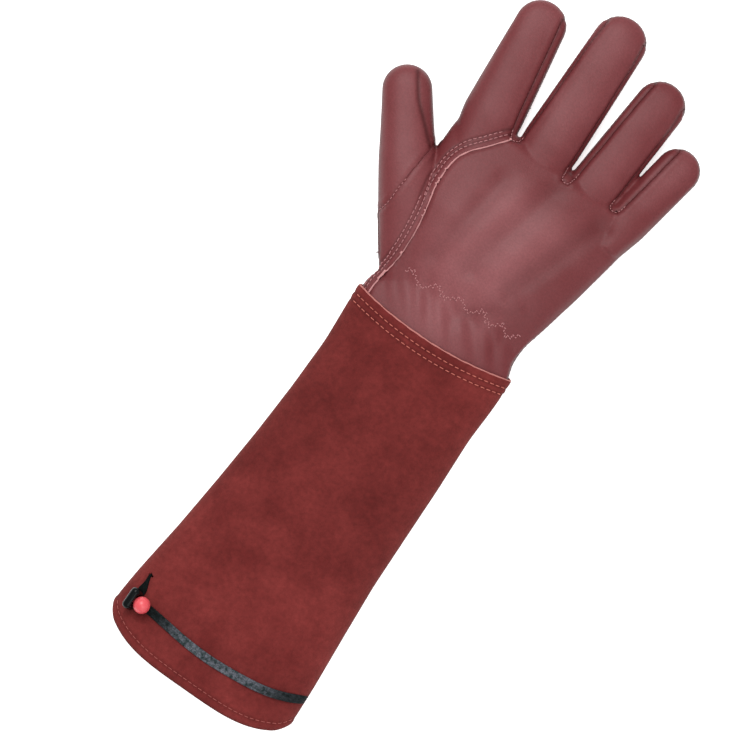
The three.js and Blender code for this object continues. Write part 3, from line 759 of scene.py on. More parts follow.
def cuff_size(y):
    at = -np.asarray(y, float) / CUFF_LENGTH
    shift, flare, rise = (column(CUFF_ROWS, key, at, 0.04) for key in ("shift", "flare", "rise"))
    return {
        "centre": shift * HALF_MOUTH,
        "half": HALF_WRIST + (HALF_MOUTH - HALF_WRIST) * flare,
        "top": CUFF_WRIST_HEIGHT + (MOUTH_HEIGHT - CUFF_WRIST_HEIGHT) * rise,
    }


def cuff_top_at(x, y):
    size = cuff_size(y)
    across = np.minimum(1, np.abs((x - size["centre"]) / size["half"]))
    return section_height(crown(across), 0, size["top"])


def cuff_point(across, on_back, y):
    """Point of the cuff's outer skin."""
    size = cuff_size(y)
    rise = crown(across) if on_back else -sole(across)
    x = size["centre"] + across * size["half"]
    return np.stack([x, y + 0 * x, section_height(rise, 0, size["top"])], axis=-1)


def wrist_edge(across, on_back):
    lift = np.where(on_back, -WRIST_EDGE_SAG, WRIST_EDGE_RISE)
    return lift * (1 - across * across) + WRIST_EDGE_SKEW * across


def mouth_edge(across):
    rounding = MOUTH_ROUNDING * rising(np.abs(across) - 0.88, 0.12) ** 2
    return -CUFF_LENGTH + MOUTH_CORNER * np.abs(across) ** MOUTH_CORNER_POWER + rounding


def tape_place(row):
    return row["across"] * HALF_MOUTH, row["fromMouth"] - CUFF_LENGTH


def tape_line_y(x):
    xs, ys = zip(*(tape_place(row) for row in TAPE_ROUTE[4:]))
    return np.interp(x, xs, ys)


def build_cuff():
    across, rise = unit_section(*CUFF_POINTS)
    rows = CUFF_RINGS
    start, end = wrist_edge(across, rise > 0), mouth_edge(across)
    y = start + (end - start) * np.linspace(0, 1, rows)[:, None]
    size = cuff_size(y)
    x = size["centre"] + across * size["half"]
    points = np.stack([x, y, section_height(np.broadcast_to(rise, y.shape), 0, size["top"])], axis=-1)
    # The skin's normal, from its neighbours round the section and along the cuff
    around = np.roll(points, -1, axis=1) - np.roll(points, 1, axis=1)
    normal = unit(np.cross(around, np.gradient(points, axis=0)))
    normal *= np.sign((normal * (points - [0, 0, SIDE_SEAM_Z])).sum(axis=2).mean())
    flat = points.reshape(-1, 3)
    upper = np.clip(rise, 0, 1) * np.ones_like(y)
    soft = wobble(flat * [1, 0.6, 1], 46, 1).reshape(y.shape)
    crumple = wobble(flat, 15, 2).reshape(y.shape)
    from_mouth, from_wrist = y - end, start - y
    # The elastic tape draws the suede in a little and gathers it
    from_tape = y - tape_line_y(x)
    near_tape = bell(from_tape, 9)
    gathers = np.sin(x / 2.6 + 2.2 * soft) * bell(from_tape, 16)
    stitched = sum(bell(from_wrist - row, 0.9) for row in WRIST_ROWS) + 0.8 * bell(from_mouth - HEM_ROW, 1)
    out = upper * (0.55 * soft + 0.16 * crumple - 0.45 * near_tape + 0.14 * gathers) - 0.28 * stitched
    # Between its rows of stitches and its edges the suede stands up a little
    out += 0.18 * bell(from_wrist - 7.3, 1.3) + 0.2 * bell(from_mouth - 3.2, 2.2)
    for from_edge in (from_mouth, from_wrist):
        out -= 0.5 * np.exp(-np.maximum(from_edge, 0) / 0.8)
    points = points + normal * out[..., None]
    points[..., 2] = np.maximum(points[..., 2], 0)
    flat = points.reshape(-1, 3)
    faces = np.array(ring_faces(rows, len(across)))
    middle = flat[faces].mean(axis=1)
    in_slit = (np.abs(middle[:, :2] - tape_place(TAPE_ROUTE[0])) < SLIT_HALF).all(axis=1)
    faces = faces[~(in_slit & (middle[:, 2] > SIDE_SEAM_Z))]
    cuff = plan_piece("cuff_sleeve", flat, faces, CUFF_SUEDE, "cuff_suede", "cuff")
    # Painted shade in the grooves of the stitch rows and along the sides where the cuff turns under, a
    # painted shadow along the mouth's edge, painted shade beside the tape, and darker over the part nearer
    # the wrist
    painted_shade = 0.3 * rising(120 - np.abs(y + 75), 100) + 0.55 * stitched + 0.8 * bell(rise, 0.1)
    painted_shade += 0.8 * np.exp(-np.maximum(from_mouth, 0) / 0.7) + 0.15 * near_tape * upper
    add_attribute(cuff, "seam", np.clip(painted_shade, 0, 1).reshape(-1))
    # Painted shade where the suede faces sideways
    add_attribute(cuff, "side", painted_side_shade(normal.reshape(-1, 3)))
    solidify(cuff, SUEDE)
    return skin_tree(flat, faces)


# Hand: one smooth outer skin


def palm_x(share):
    return PALM_SHIFT + np.asarray(share) * HALF_PALM


def palm_points(shares):
    shares = np.asarray(shares, float)
    return np.stack([palm_x(shares[:, 0]), shares[:, 1] * PALM_LENGTH], axis=1)


def fold_depth(x, y):
    total = 0
    for fold in FOLDS:
        start, end = palm_points([(fold["x0"], fold["y0"]), (fold["x1"], fold["y1"])])
        run = end - start
        share = np.clip(((x - start[0]) * run[0] + (y - start[1]) * run[1]) / (run @ run), 0, 1)
        far = np.hypot(x - start[0] - share * run[0], y - start[1] - share * run[1])
        total = total + fold["depth"] * PALM_HEIGHT * bell(far, fold["width"] * PALM_HEIGHT)
    return total


def palm_form():
    across, rise = unit_section(60, 44)
    inset = SUEDE + GAP + 0.2
    rows = []
    for y in (-TUCK, -TUCK / 2, 0):
        size = cuff_size(y)
        left = size["centre"] - size["half"] + inset
        right = size["centre"] + size["half"] - inset
        rows.append({"at": y, "left": left, "right": right, "top": size["top"] - inset})
    for row in PALM_ROWS:
        left, right = palm_x(-row["left"]), palm_x(row["right"])
        top = HAND_LIFT + row["top"] * PALM_HEIGHT
        rows.append({"at": row["at"] * PALM_LENGTH, "left": left, "right": right, "top": top})
    stations = [(y, 1.0) for y in np.arange(-TUCK, PALM_LENGTH - WEB_ROUND, 2.0)]
    for angle in np.radians(np.arange(0, 88, 11)):
        stations.append((PALM_LENGTH - WEB_ROUND + WEB_ROUND * math.sin(angle), math.cos(angle) ** 0.7))
    rings = []
    for y, keep in stations:
        left, right, top = (column(rows, key, y, 4) for key in ("left", "right", "top"))
        top = SIDE_SEAM_Z + keep * (top - SIDE_SEAM_Z)
        low = SIDE_SEAM_Z - keep * (SIDE_SEAM_Z - HAND_LIFT)
        x = (left + right) / 2 + across * (right - left) / 2
        rings.append(np.stack([x, np.full_like(x, y), section_height(rise, low, top)], axis=1))
    return closed_form(rings)


def axis_of(finger):
    lean = math.radians(finger["lean"])
    root = palm_points([(finger["rootX"], finger["rootY"])])[0]
    return root, np.array([math.sin(lean), math.cos(lean)])


def along_axis(finger, share):
    root, along = axis_of(finger)
    return root + along * share * finger["length"]


def on_axis(finger, x, y):
    """How far places in plan lie along a finger's middle line, and how far beside it."""
    root, along = axis_of(finger)
    reach = (x - root[0]) * along[0] + (y - root[1]) * along[1]
    return reach, (x - root[0]) * along[1] - (y - root[1]) * along[0]


def finger_form(finger, rows):
    across, rise = unit_section(36, 26)
    root, along = axis_of(finger)
    radius = finger["tipWidth"] / 2
    straight = finger["length"] - radius
    stations = [(reach, 0.0) for reach in np.arange(0, straight, 2.0)]
    stations += [(straight, angle) for angle in np.radians(np.arange(0, 87, 7))]
    rings = []
    for reach, angle in stations:
        at = reach / straight
        width = finger["width"] + (finger["tipWidth"] - finger["width"]) * column(rows, "narrow", at, 0.08)
        half = width * column(rows, "wide", at, 0.03) / 2 * math.cos(angle)
        low = column(rows, "lift", at, 0.08) * HAND_LIFT
        high = column(rows, "high", at, 0.08) * finger["height"]
        keep = max(math.cos(angle), 0.02) ** 0.45
        low += high * (1 - keep) * 0.35
        centre = root + along * (reach + radius * math.sin(angle))
        x = centre[0] + along[1] * across * half
        y = centre[1] - along[0] * across * half
        z = section_height(rise, min(low, SIDE_SEAM_Z - 1), max(low + high * keep, SIDE_SEAM_Z + 1))
        rings.append(np.stack([x, y, z], axis=1))
    return closed_form(rings)


def web_form(web):
    """A thin upright wall with rounded edges."""
    cosine, sine = circle(20)
    start, end = np.array([web["x0"], web["y0"]]), np.array([web["x1"], web["y1"]])
    size = [web["half"], 0, (web["high"] - web["low"]) / 2]
    rings = []
    for share in np.linspace(0, 1, 14):
        keep = math.sqrt(max(0.02, 1 - (2 * share - 1) ** 6))
        centre = [*(start + (end - start) * share), (web["low"] + web["high"]) / 2]
        rings.append(centre + keep * np.hstack([cosine, 0 * cosine, sine]) * size)
    return closed_form(rings)


def relax(points, edges, rounds, weight, moving=None):
    """Moves each point towards the mean of its neighbours."""
    points = points.copy()
    count = np.bincount(edges.ravel(), minlength=len(points))[:, None]
    for _ in range(rounds):
        total = np.zeros_like(points)
        np.add.at(total, edges[:, 0], points[edges[:, 1]])
        np.add.at(total, edges[:, 1], points[edges[:, 0]])
        step = weight * (total / np.maximum(count, 1) - points)
        if moving is not None:
            step[~moving] = 0
        points += step
    return points


def vertex_normals(points, quads):
    across = points[quads[:, 2]] - points[quads[:, 0]]
    along = points[quads[:, 3]] - points[quads[:, 1]]
    total = np.zeros_like(points)
    for k in range(4):
        np.add.at(total, quads[:, k], np.cross(across, along))
    return unit(total)


def hand_skin():
    """One smooth outer skin of the whole hand: points, quads and edges."""
    forms = [palm_form(), finger_form(THUMB, THUMB_ROWS)]
    forms += [finger_form(finger, FINGER_ROWS) for finger in FINGERS.values()]
    forms += [web_form(web) for web in WEBS]
    form = add_object("hand_form", mesh_of("hand_form", *joined(forms)))
    modifier = form.modifiers.new("skin", "REMESH")
    modifier.mode = "VOXEL"
    modifier.voxel_size = VOXEL
    skin = applied(form)
    points = np.array([v.co for v in skin.vertices])
    quads = np.array([tuple(p.vertices) for p in skin.polygons if len(p.vertices) == 4])
    edges = np.array([tuple(e.vertices) for e in skin.edges])
    return relax(points, edges, RELAX_ROUNDS, 0.5), quads, edges


def near_thumb_crease(points):
    line = resample(spline(THUMB_CREASE, 60), 0.5)
    tree = point_tree([(x, y, 0) for x, y in line])
    return bell(np.array([tree.find((x, y, 0))[2] for x, y, _ in points]), 1.2)


def shape_skin(points, quads):
    """Presses the soft folds into the back of the hand."""
    normal = vertex_normals(points, quads)
    up = np.clip(normal[:, 2], 0, 1)
    x, y = points[:, 0], points[:, 1]
    out = -FOLD_DEEPENING * fold_depth(x, y) * up * rising(112 - y, 14) * rising(y + 2, 10)
    out += 0.38 * wobble(points * [1, 0.45, 1], 19, 3) * up
    # The elastic behind the wrist seam draws the leather into shallow upright folds
    phase = (0.82 * x + 0.57 * y) / 1.9 + 1.6 * wobble(points * [1, 0.3, 0], 22, 4)
    out += 0.6 * np.sin(phase) * bell(y - 11, 12) * up
    out -= 0.45 * up * near_thumb_crease(points)
    # Creases where the fingers bend
    for finger in FINGERS.values():
        reach, aside = on_axis(finger, x, y)
        on_finger = np.exp(-((aside / (finger["width"] * 0.45)) ** 4))
        for share in (0.42, 0.68):
            out -= 0.3 * up * on_finger * bell(reach - share * finger["length"], 4.5)
    return points + normal * out[:, None]


# Hand: which piece of leather each place belongs to


def inside(x, y, outline):
    outline = np.asarray(outline, float)
    result = np.zeros(len(x), bool)
    for (ax, ay), (bx, by) in zip(outline, np.roll(outline, -1, axis=0)):
        if ay != by:
            at = ax + (y - ay) * (bx - ax) / (by - ay)
            result ^= ((ay > y) != (by > y)) & (x < at)
    return result


def between(a, b):
    points = []
    for share in [*(row["at"] for row in STRIP_ROWS), BEYOND_TIP]:
        on_a = along_axis(a, share)
        root_b, along_b = axis_of(b)
        on_b = root_b + along_b * (on_a[1] - root_b[1]) / along_b[1]
        points.append(on_a + (on_b - on_a) * a["width"] / (a["width"] + b["width"]))
    return np.array(points)


def finger_side(finger, side, share, inset):
    """Point in plan on a finger's side, at a share of its length and an inset from its widest line."""
    along = axis_of(finger)[1]
    radius = finger["tipWidth"] / 2
    straight = finger["length"] - radius
    reach = share * finger["length"]
    narrow = np.interp(reach / straight, [r["at"] for r in FINGER_ROWS], [r["narrow"] for r in FINGER_ROWS])
    half = (finger["width"] + (finger["tipWidth"] - finger["width"]) * narrow) / 2
    if reach > straight:
        half = math.sqrt(radius**2 - (reach - straight) ** 2)
    return along_axis(finger, share) + side * (half - inset) * np.array([along[1], -along[0]])


def strip_outline(strip):
    a, b = FINGERS[strip["first"]], FINGERS[strip["second"]]
    fork = between(a, b)[0][0]
    start = PALM_LENGTH - strip["web"]
    on_a = [finger_side(a, 1, row["at"], strip["onFirst"] * row["reach"]) for row in STRIP_ROWS]
    on_b = [finger_side(b, -1, row["at"], strip["onSecond"] * row["reach"]) for row in STRIP_ROWS]
    return [*on_a[::-1], (fork - WEB_HALF_WIDTH, start), (fork + WEB_HALF_WIDTH, start), *on_b]


def thumb_outline(rows):
    edge = spline(palm_points(rows), 60)
    along = axis_of(THUMB)[1]
    clear = along_axis(THUMB, 1.3) + np.array([along[1], -along[0]]) * THUMB["width"] * 0.6
    last = edge[-1]
    return [*edge, (-FAR, last[1] + (last[0] + FAR) * 0.2), (-FAR, FAR / 2), clear]


def inset_outline(before, finger, after):
    left, right = between(before, finger), between(finger, after)
    edge = spline(palm_points(INSET_SEAM), 60)
    base = [p for p in edge if left[0][0] < p[0] < right[0][0]]
    start, end = ((x, np.interp(x, edge[:, 0], edge[:, 1])) for x in (left[0][0], right[0][0]))
    return [start, *base, end, *right[1:], *left[1:][::-1]]


def panel_of(points):
    """Which piece of leather each place on the skin belongs to."""
    x, y, z = points.T
    names = np.full(len(x), "palm_panel", dtype=object)
    index, middle, ring, little = FINGERS.values()
    lower, upper = z < SIDE_SEAM_Z, z >= SIDE_SEAM_Z
    names[inside(x, y, inset_outline(index, middle, ring)) & lower] = "middle_finger_front"
    names[inside(x, y, inset_outline(middle, ring, little)) & lower] = "ring_finger_front"
    edge = spline(palm_points(KEYSTONE_SEAM), 60)
    outline = [*edge, *between(index, middle)[1:], (FAR, FAR), (FAR, -FAR), (edge[0][0], -FAR)]
    names[inside(x, y, outline) & (z > SIDE_SEAM_Z)] = "back_panel"
    names[inside(x, y, thumb_outline(THUMB_SEAM_FRONT)) & lower] = "thumb"
    names[inside(x, y, thumb_outline(THUMB_SEAM_BACK)) & upper] = "thumb"
    for name, strip in STRIPS.items():
        names[inside(x, y, strip_outline(strip)) & (z > STRIP_LOW)] = name
    return names


def quad_sides(quads):
    """The sides of quads as pairs of points: the first side of all, then the second of all and so on."""
    return np.sort(np.concatenate([quads[:, [k, (k + 1) % 4]] for k in range(4)]), axis=1)


def face_neighbours(quads):
    """Pairs of quads that share an edge, and that edge's two points."""
    sides = quad_sides(quads)
    owner = np.tile(np.arange(len(quads)), 4)
    order = np.lexsort((sides[:, 1], sides[:, 0]))
    sides, owner = sides[order], owner[order]
    same = (sides[1:] == sides[:-1]).all(axis=1)
    return np.stack([owner[:-1][same], owner[1:][same]], axis=1), sides[:-1][same]


def tidy_labels(labels, pairs):
    """Gives islands of few faces to the panel around them."""
    around = [[] for _ in labels]
    for a, b in pairs:
        around[a].append(b)
        around[b].append(a)
    for _ in range(3):
        seen = np.zeros(len(labels), bool)
        for first in range(len(labels)):
            if seen[first]:
                continue
            seen[first] = True
            island, border = [first], []
            for face in island:
                for other in around[face]:
                    if labels[other] != labels[first]:
                        border.append(labels[other])
                    elif not seen[other]:
                        seen[other] = True
                        island.append(other)
            if len(island) < SMALLEST_PANEL and border:
                labels[island] = np.bincount(border).argmax()
    return labels


# Hand: seams


def walk_chains(labels, pairs, sides):
    """Seam lines as chains of points in order, each with the two panels that it joins."""
    differ = labels[pairs[:, 0]] != labels[pairs[:, 1]]
    links = {}
    for (a, b), (f, g) in zip(sides[differ], pairs[differ]):
        both = tuple(sorted((int(labels[f]), int(labels[g]))))
        links.setdefault(int(a), {})[int(b)] = both
        links.setdefault(int(b), {})[int(a)] = both
    used = set()
    chains = []

    def follow(start, step):
        chain = [start, step]
        used.update([(start, step), (step, start)])
        while len(links[chain[-1]]) == 2:
            last = chain[-1]
            onward = [p for p in links[last] if (last, p) not in used]
            if not onward:
                break
            used.update([(last, onward[0]), (onward[0], last)])
            chain.append(onward[0])
        chains.append((links[start][step], chain))

    for start in [p for p in links if len(links[p]) != 2] + list(links):
        for step in list(links[start]):
            if (start, step) not in used:
                follow(start, step)
    return chains


def split_at_side(chain, points):
    """The thumb's seam in separate chains for the palm and for the back of the hand."""
    both, line = chain
    if {PANELS[i] for i in both} != {"palm_panel", "thumb"}:
        return [chain]
    on_back = points[line][:, 2] > SIDE_SEAM_Z + 1
    if line[0] == line[-1] and on_back.any() and not on_back.all():
        turn = int(np.flatnonzero(on_back[1:] != on_back[:-1])[0]) + 1
        line = line[turn:-1] + line[: turn + 1]
        on_back = points[line][:, 2] > SIDE_SEAM_Z + 1
    cuts = [0, *(np.flatnonzero(on_back[1:] != on_back[:-1]) + 1), len(line) - 1]
    return [(both, line[a : b + 1]) for a, b in zip(cuts, cuts[1:]) if b - a > 1]


def smooth_chains(points, edges, chains, quads):
    """Straightens the stepped seam lines and lays them back on the skin."""
    skin = skin_tree(points, quads)
    points = points.copy()
    on_seam = np.zeros(len(points), bool)
    for _, chain in chains:
        on_seam[chain] = True
        line = points[chain]
        for _ in range(26):
            line[1:-1] += 0.5 * ((line[:-2] + line[2:]) / 2 - line[1:-1])
            if chain[0] == chain[-1]:
                line[0] += 0.5 * ((line[1] + line[-2]) / 2 - line[0])
                line[-1] = line[0]
        points[chain] = line
    near = on_seam.copy()
    for _ in range(3):
        grown = near.copy()
        grown[edges[:, 0]] |= near[edges[:, 1]]
        grown[edges[:, 1]] |= near[edges[:, 0]]
        near = grown
    points = relax(points, edges, 10, 0.5, near & ~on_seam)
    for i in np.flatnonzero(near):
        points[i] = skin.find_nearest(Vector(points[i]))[0]
    return points


def seam_kind(both, line):
    names = {PANELS[i] for i in both}
    middle = line.mean(axis=0)
    if names == {"palm_panel", "back_panel"} and middle[0] < 0:
        return "keystone"
    if names == {"palm_panel", "thumb"}:
        return "thumb_back" if middle[2] > SIDE_SEAM_Z else "thumb"
    if any(n.endswith("_front") for n in names) and "palm_panel" in names and middle[1] < 118:
        return "inset"
    return "turned"


def seam_relief(points, name, seams):
    """How far the seams of a panel move each point out or in, and how much painted shade darkens it there."""
    shift = np.zeros(len(points))
    painted_shade = np.zeros(len(points))
    spacing = 0.6
    for kind, step in SEAM_STEPS.items():
        lines = [resample(s["line"], spacing) for s in seams if s["kind"] == kind]
        if not lines:
            continue
        tree = point_tree(np.concatenate(lines))
        nearest, far = np.array([tree.find(p)[1:] for p in points]).T
        run = nearest * spacing
        pucker = np.sin(run * 2 * np.pi / 3.1 + 1.5 * np.sin(run / 9))
        if name == step["over"]:
            shift += step["up"] * bell(far, step["reach"])
            # The rows of stitches hold the lapped edge down
            for row in STITCHED_AT[kind]:
                shift -= 0.32 * bell(far - row, 0.7) * (1 + 0.25 * pucker)
                # Painted shade in the groove beside each row of stitches
                painted_shade = np.maximum(painted_shade, 0.55 * bell(far - row, 0.9))
        else:
            shift -= step["down"] * bell(far, step["reach"])
            # Painted shade in the seam's groove
            painted_shade = np.maximum(painted_shade, step["dark"] * bell(far, 1.1))
            shift += 0.22 * bell(far - 2.7, 1.5) + 0.09 * pucker * bell(far, 2.8)
    x, y, z = points.T
    # Painted shade on the lower parts of the side strips, down between the fingers
    if name in STRIPS:
        painted_shade = np.maximum(painted_shade, 0.8 * rising(SIDE_SEAM_Z + 1.5 - z, 3))
    # Painted shade in the crease along the thumb
    if name == "thumb":
        painted_shade = np.maximum(painted_shade, 0.8 * near_thumb_crease(points) * (z > SIDE_SEAM_Z))
    # Painted shade in the valleys of the folds on the back of the hand
    valley = rising(fold_depth(x, y), DEEPEST_FOLD * PALM_HEIGHT)
    return shift, np.maximum(painted_shade, 0.2 * valley * (z > SIDE_SEAM_Z + 3))


def painted_highlight_share(points):
    """From 0 where the leather keeps its colour to 1 where a painted highlight lightens it."""
    x, y = points[:, 0], points[:, 1]
    # Painted highlight down the middle of the back of the hand and along the middle of each finger's back
    pale = bell(x, 32) * rising(104 - y, 25) * rising(y + 50, 90)
    for finger in (*FINGERS.values(), THUMB):
        reach, aside = on_axis(finger, x, y)
        finger_highlight = finger["pale"] * rising(reach - 12, 20) * bell(aside, 0.42 * finger["width"])
        pale = np.maximum(pale, finger_highlight)
    return pale


def draw_back(points, faces, distance):
    """Moves a panel's outline in by a distance, so that a thin line shows between panels."""
    points = points.copy()
    sides = quad_sides(faces)
    _, where, count = np.unique(sides, axis=0, return_inverse=True, return_counts=True)
    outline = np.unique(sides[count[where.ravel()] == 1])
    total = np.zeros_like(points)
    hits = np.zeros(len(points))
    for k in range(4):
        np.add.at(total, faces[:, k], points[faces].mean(axis=1))
        np.add.at(hits, faces[:, k], 1)
    inward = total[outline] / hits[outline][:, None] - points[outline]
    points[outline] += unit(inward) * distance
    return points


def build_hand():
    """Every piece of leather of the hand. Returns the seams and a search tree over the outer skin."""
    points, quads, edges = hand_skin()
    points = shape_skin(points, quads)
    # The tucked end is open
    quads = quads[points[quads].mean(axis=1)[:, 1] > 1.2 - TUCK]
    labels = np.array([PANELS.index(name) for name in panel_of(points[quads].mean(axis=1))])
    pairs, sides = face_neighbours(quads)
    labels = tidy_labels(labels, pairs)
    chains = [part for chain in walk_chains(labels, pairs, sides) for part in split_at_side(chain, points)]
    points = smooth_chains(points, edges, chains, quads)
    normal = vertex_normals(points, quads)
    seams = [
        {"both": both, "kind": seam_kind(both, points[chain]), "line": points[chain], "normal": normal[chain]}
        for both, chain in chains
        if len(chain) > 6
    ]
    panels = []
    for label, name in enumerate(PANELS):
        used, mine = np.unique(quads[labels == label], return_inverse=True)
        mine = mine.reshape(-1, 4)
        at, away = points[used], normal[used]
        shift, painted_shade = seam_relief(at, name, [s for s in seams if label in s["both"]])
        placed = draw_back(at + away * shift[:, None], mine, SEAM_SLIT)
        placed[:, 2] = np.maximum(placed[:, 2], 0.02)
        piece = plan_piece(name + "_leather", placed, mine, HAND_LEATHER, "hand_leather", name)
        # Painted shade along the seams, stitch rows, strips, thumb crease and fold valleys
        add_attribute(piece, "seam", painted_shade)
        # Painted shade where the skin faces sideways, weaker on the side strips
        add_attribute(piece, "side", painted_side_shade(away) * (0.35 if name in STRIPS else 1))
        # Painted highlight on the middle of the back and of each finger
        add_attribute(piece, "painted_highlight", painted_highlight_share(at))
        solidify(piece, LEATHER)
        panels.append((placed, mine))
    return seams, skin_tree(*joined(panels))


# Thread


def settle(tree, points, lift):
    """Lays points on a skin, raised by a lift. Returns them and the skin's normals there."""
    found = [tree.find_nearest(Vector(point)) for point in points]
    spots = [spot + normal * lift for spot, normal, _, _ in found]
    return np.array(spots), np.array([f[1] for f in found])


def rod(line, radius):
    """A small rod along a line of five points, with rounded ends."""
    cosine, sine = circle(6)
    tangent = unit(np.gradient(line, axis=0))
    aside = unit(np.cross(tangent, [0.13, 0.21, 0.97]))
    up = np.cross(aside, tangent)
    parts = zip(line, aside, up, STITCH_TAPER)
    return closed_form([p + radius * share * (cosine * a + sine * u) for p, a, u, share in parts], -1)


def stitch_row(name, kind, tree, line):
    """A row of stitches of one kind, lying on a skin along a line."""
    stitch = STITCHES[kind]
    radius = stitch["radius"]
    line = resample(line, FINE_STEP)
    reach = np.arange(len(line)) * FINE_STEP
    rods = []
    start = stitch["pitch"] / 2
    while start + stitch["length"] < reach[-1]:
        at = np.linspace(start, start + stitch["length"], len(STITCH_TAPER))
        spots, normals = settle(tree, line_at(at, reach, line), 0)
        rods.append(rod(spots + normals * STITCH_ARCH * radius, radius))
        start += stitch["pitch"]
    plan_piece("stitches_" + name, *joined(rods), stitch["thread"], "seam_thread")


def beside(seam, distance):
    """A line beside a seam, on the palm's panel, lying roughly on the skin."""
    line = resample(seam["line"], 1.0)
    share, old_share = (np.linspace(0, 1, len(points)) for points in (line, seam["normal"]))
    normal = line_at(share, old_share, seam["normal"])
    aside = unit(np.cross(normal, unit(np.gradient(line, axis=0))))
    side = 1 if (panel_of(line + aside * 2) == "palm_panel").mean() > 0.5 else -1
    return smooth_line(line + side * aside * distance, 16)


def edge_strip(name, kind, tree, line, seed):
    """The pale raw edge of a cut piece of leather, slightly uneven along its length."""
    edge = RAW_EDGES[kind]
    cosine, sine = circle(8)
    spots, normals = settle(tree, smooth_line(resample(line, 0.8), 14), edge["lift"])
    aside = unit(np.cross(normals, unit(np.gradient(spots, axis=0))))
    spots = spots + aside * 0.25 * wobble(spots, 4.5, seed + 20)[:, None]
    half = edge["width"] / 2 * (1 + 0.45 * wobble(spots, 4, seed))
    rings = []
    for p, a, n, h in zip(spots, aside, normals, half):
        rings.append(p + h * cosine * a + edge["thickness"] / 2 * sine * n)
    plan_piece("raw_edge_" + name, *closed_form(rings), edge["material"], "seam_thread")


def small_zigzag(line):
    """Points of a fine zigzag that follows a coarse one."""
    line = smooth_line(resample(line, FINE_STEP), 12)
    tangent = unit(np.gradient(line, axis=0))
    across = np.column_stack([-tangent[:, 1], tangent[:, 0]])
    reach = np.arange(len(line)) * FINE_STEP
    wave = 2 * np.abs((reach / (2 * ZIGZAG_STEP)) % 1 - 0.5) - 0.5
    uneven = 1 + 0.5 * np.sin(reach / 4.1) * np.sin(reach / 2.3)
    return line + across * (ZIGZAG_SWING * wave * uneven)[:, None]


def drop_on(tree, plan):
    """Lays a plan line on a skin from above."""
    spots = [tree.ray_cast(Vector((x, y, 90)), Vector((0, 0, -1)))[0] for x, y in plan]
    return np.array([tuple(spot) for spot in spots if spot is not None])


def low_part(line):
    """The part of a line that can't be seen from above."""
    return line[line[:, 2] < UNSEEN_BELOW]


def numbered(seams, kinds):
    return enumerate(s for s in seams if s["kind"] in kinds and len(s["line"]) >= SHORTEST_SEAM)


def build_hand_thread(seams, tree):
    for number, seam in numbered(seams, STITCHED_AT):
        kind = seam["kind"]
        label = kind + "_" + str(number)
        for k, distance in enumerate(STITCHED_AT[kind]):
            line = beside(seam, distance)
            stitch_row(label + "_" + str(k), kind, tree, low_part(line) if kind == "thumb" else line)
        line = seam["line"] if kind == "keystone" else low_part(seam["line"])
        edge_strip(label, "hand", tree, line, number)
    for number, seam in numbered(seams, ["thumb_back"]):
        line = resample(seam["line"], 0.5)
        line = line[line[:, 1] < THUMB_STITCHES_TO]
        if len(line) > 20:
            stitch_row("thumb_back_" + str(number), "thumb_back", tree, line)
    stitch_row("wrist_zigzag", "zigzag", tree, drop_on(tree, small_zigzag(ZIGZAG)))
    for number, seam in numbered(seams, ["turned"]):
        line = resample(seam["line"], 0.5)
        line = line[(line[:, 1] < FORK_STITCHES_TO) & (line[:, 2] > SIDE_SEAM_Z + 2) & (line[:, 0] < 50)]
        if len(line) > 12:
            stitch_row("fork_" + str(number), "fork", tree, line)


def build_cuff_thread(tree):
    across = np.linspace(-0.985, 0.985, 160)
    to_edge = np.linspace(-0.995, 0.995, 160)
    for side, on_back, seed in (("back", True, 9), ("front", False, 10)):
        for k, row in enumerate(WRIST_ROWS):
            line = cuff_point(across, on_back, wrist_edge(across, on_back) - row)
            stitch_row("cuff_" + side + "_" + str(k), "cuff", tree, line)
        line = cuff_point(across, on_back, mouth_edge(across) + HEM_ROW)
        stitch_row("hem_" + side, "hem", tree, line)
        line = cuff_point(to_edge, on_back, wrist_edge(to_edge, on_back) - 0.35)
        edge_strip("cuff_" + side, "cuff", tree, line, seed)


# Palm patch


def build_patch(hand_tree):
    columns, rows = 118, 64
    top, bottom = (resample(spline(palm_points(edge), 400), 0.2) for edge in (PATCH_TOP, PATCH_BOTTOM))
    grid = []
    for share in np.linspace(0, 1, columns):
        a = top[int(round(share * (len(top) - 1)))]
        b = bottom[int(round(share * (len(bottom) - 1)))]
        grid.append(b + (a - b) * np.linspace(0, 1, rows)[:, None])
    plan = np.concatenate(grid)
    height = []
    for x, y in plan:
        spot = hand_tree.ray_cast(Vector((x, y, -60)), Vector((0, 0, 1)))[0]
        height.append(spot.z if spot else HAND_LIFT)
    height = np.maximum(np.array(height) - 0.15, HAND_LIFT - 0.2)
    points = np.column_stack([plan, height])
    faces = ring_faces(columns, rows, closed=False)
    patch = plan_piece("palm_patch_suede", points, faces, PATCH_SUEDE, "patch_suede", "palm_patch")
    add_attribute(patch, "seam", np.zeros(len(points)))
    add_attribute(patch, "side", np.zeros(len(points)))
    thickness = SUEDE - 0.05
    solidify(patch, thickness, inwards=False)
    outer = (points - [0, 0, thickness]).reshape(columns, rows, 3)
    tree = skin_tree(outer.reshape(-1, 3), faces)
    low, run = outer[:, 0], outer[:, -1] - outer[:, 0]
    tall = np.linalg.norm(run, axis=1)[:, None]
    for k, distance in enumerate(PATCH_ROWS):
        line = (low + run * distance / np.maximum(tall, 1))[tall[:, 0] > 12]
        stitch_row("patch_" + str(k), "patch", tree, line)


# Drawcord


def section_slope(across, size):
    """How steeply the cuff's back falls at a share of its half width, as height over width."""
    step = 1e-3
    fall = crown(np.clip(across + step, -1, 1)) - crown(np.clip(across - step, -1, 1))
    return fall / (2 * step) * (size["top"] - SIDE_SEAM_Z) / size["half"]


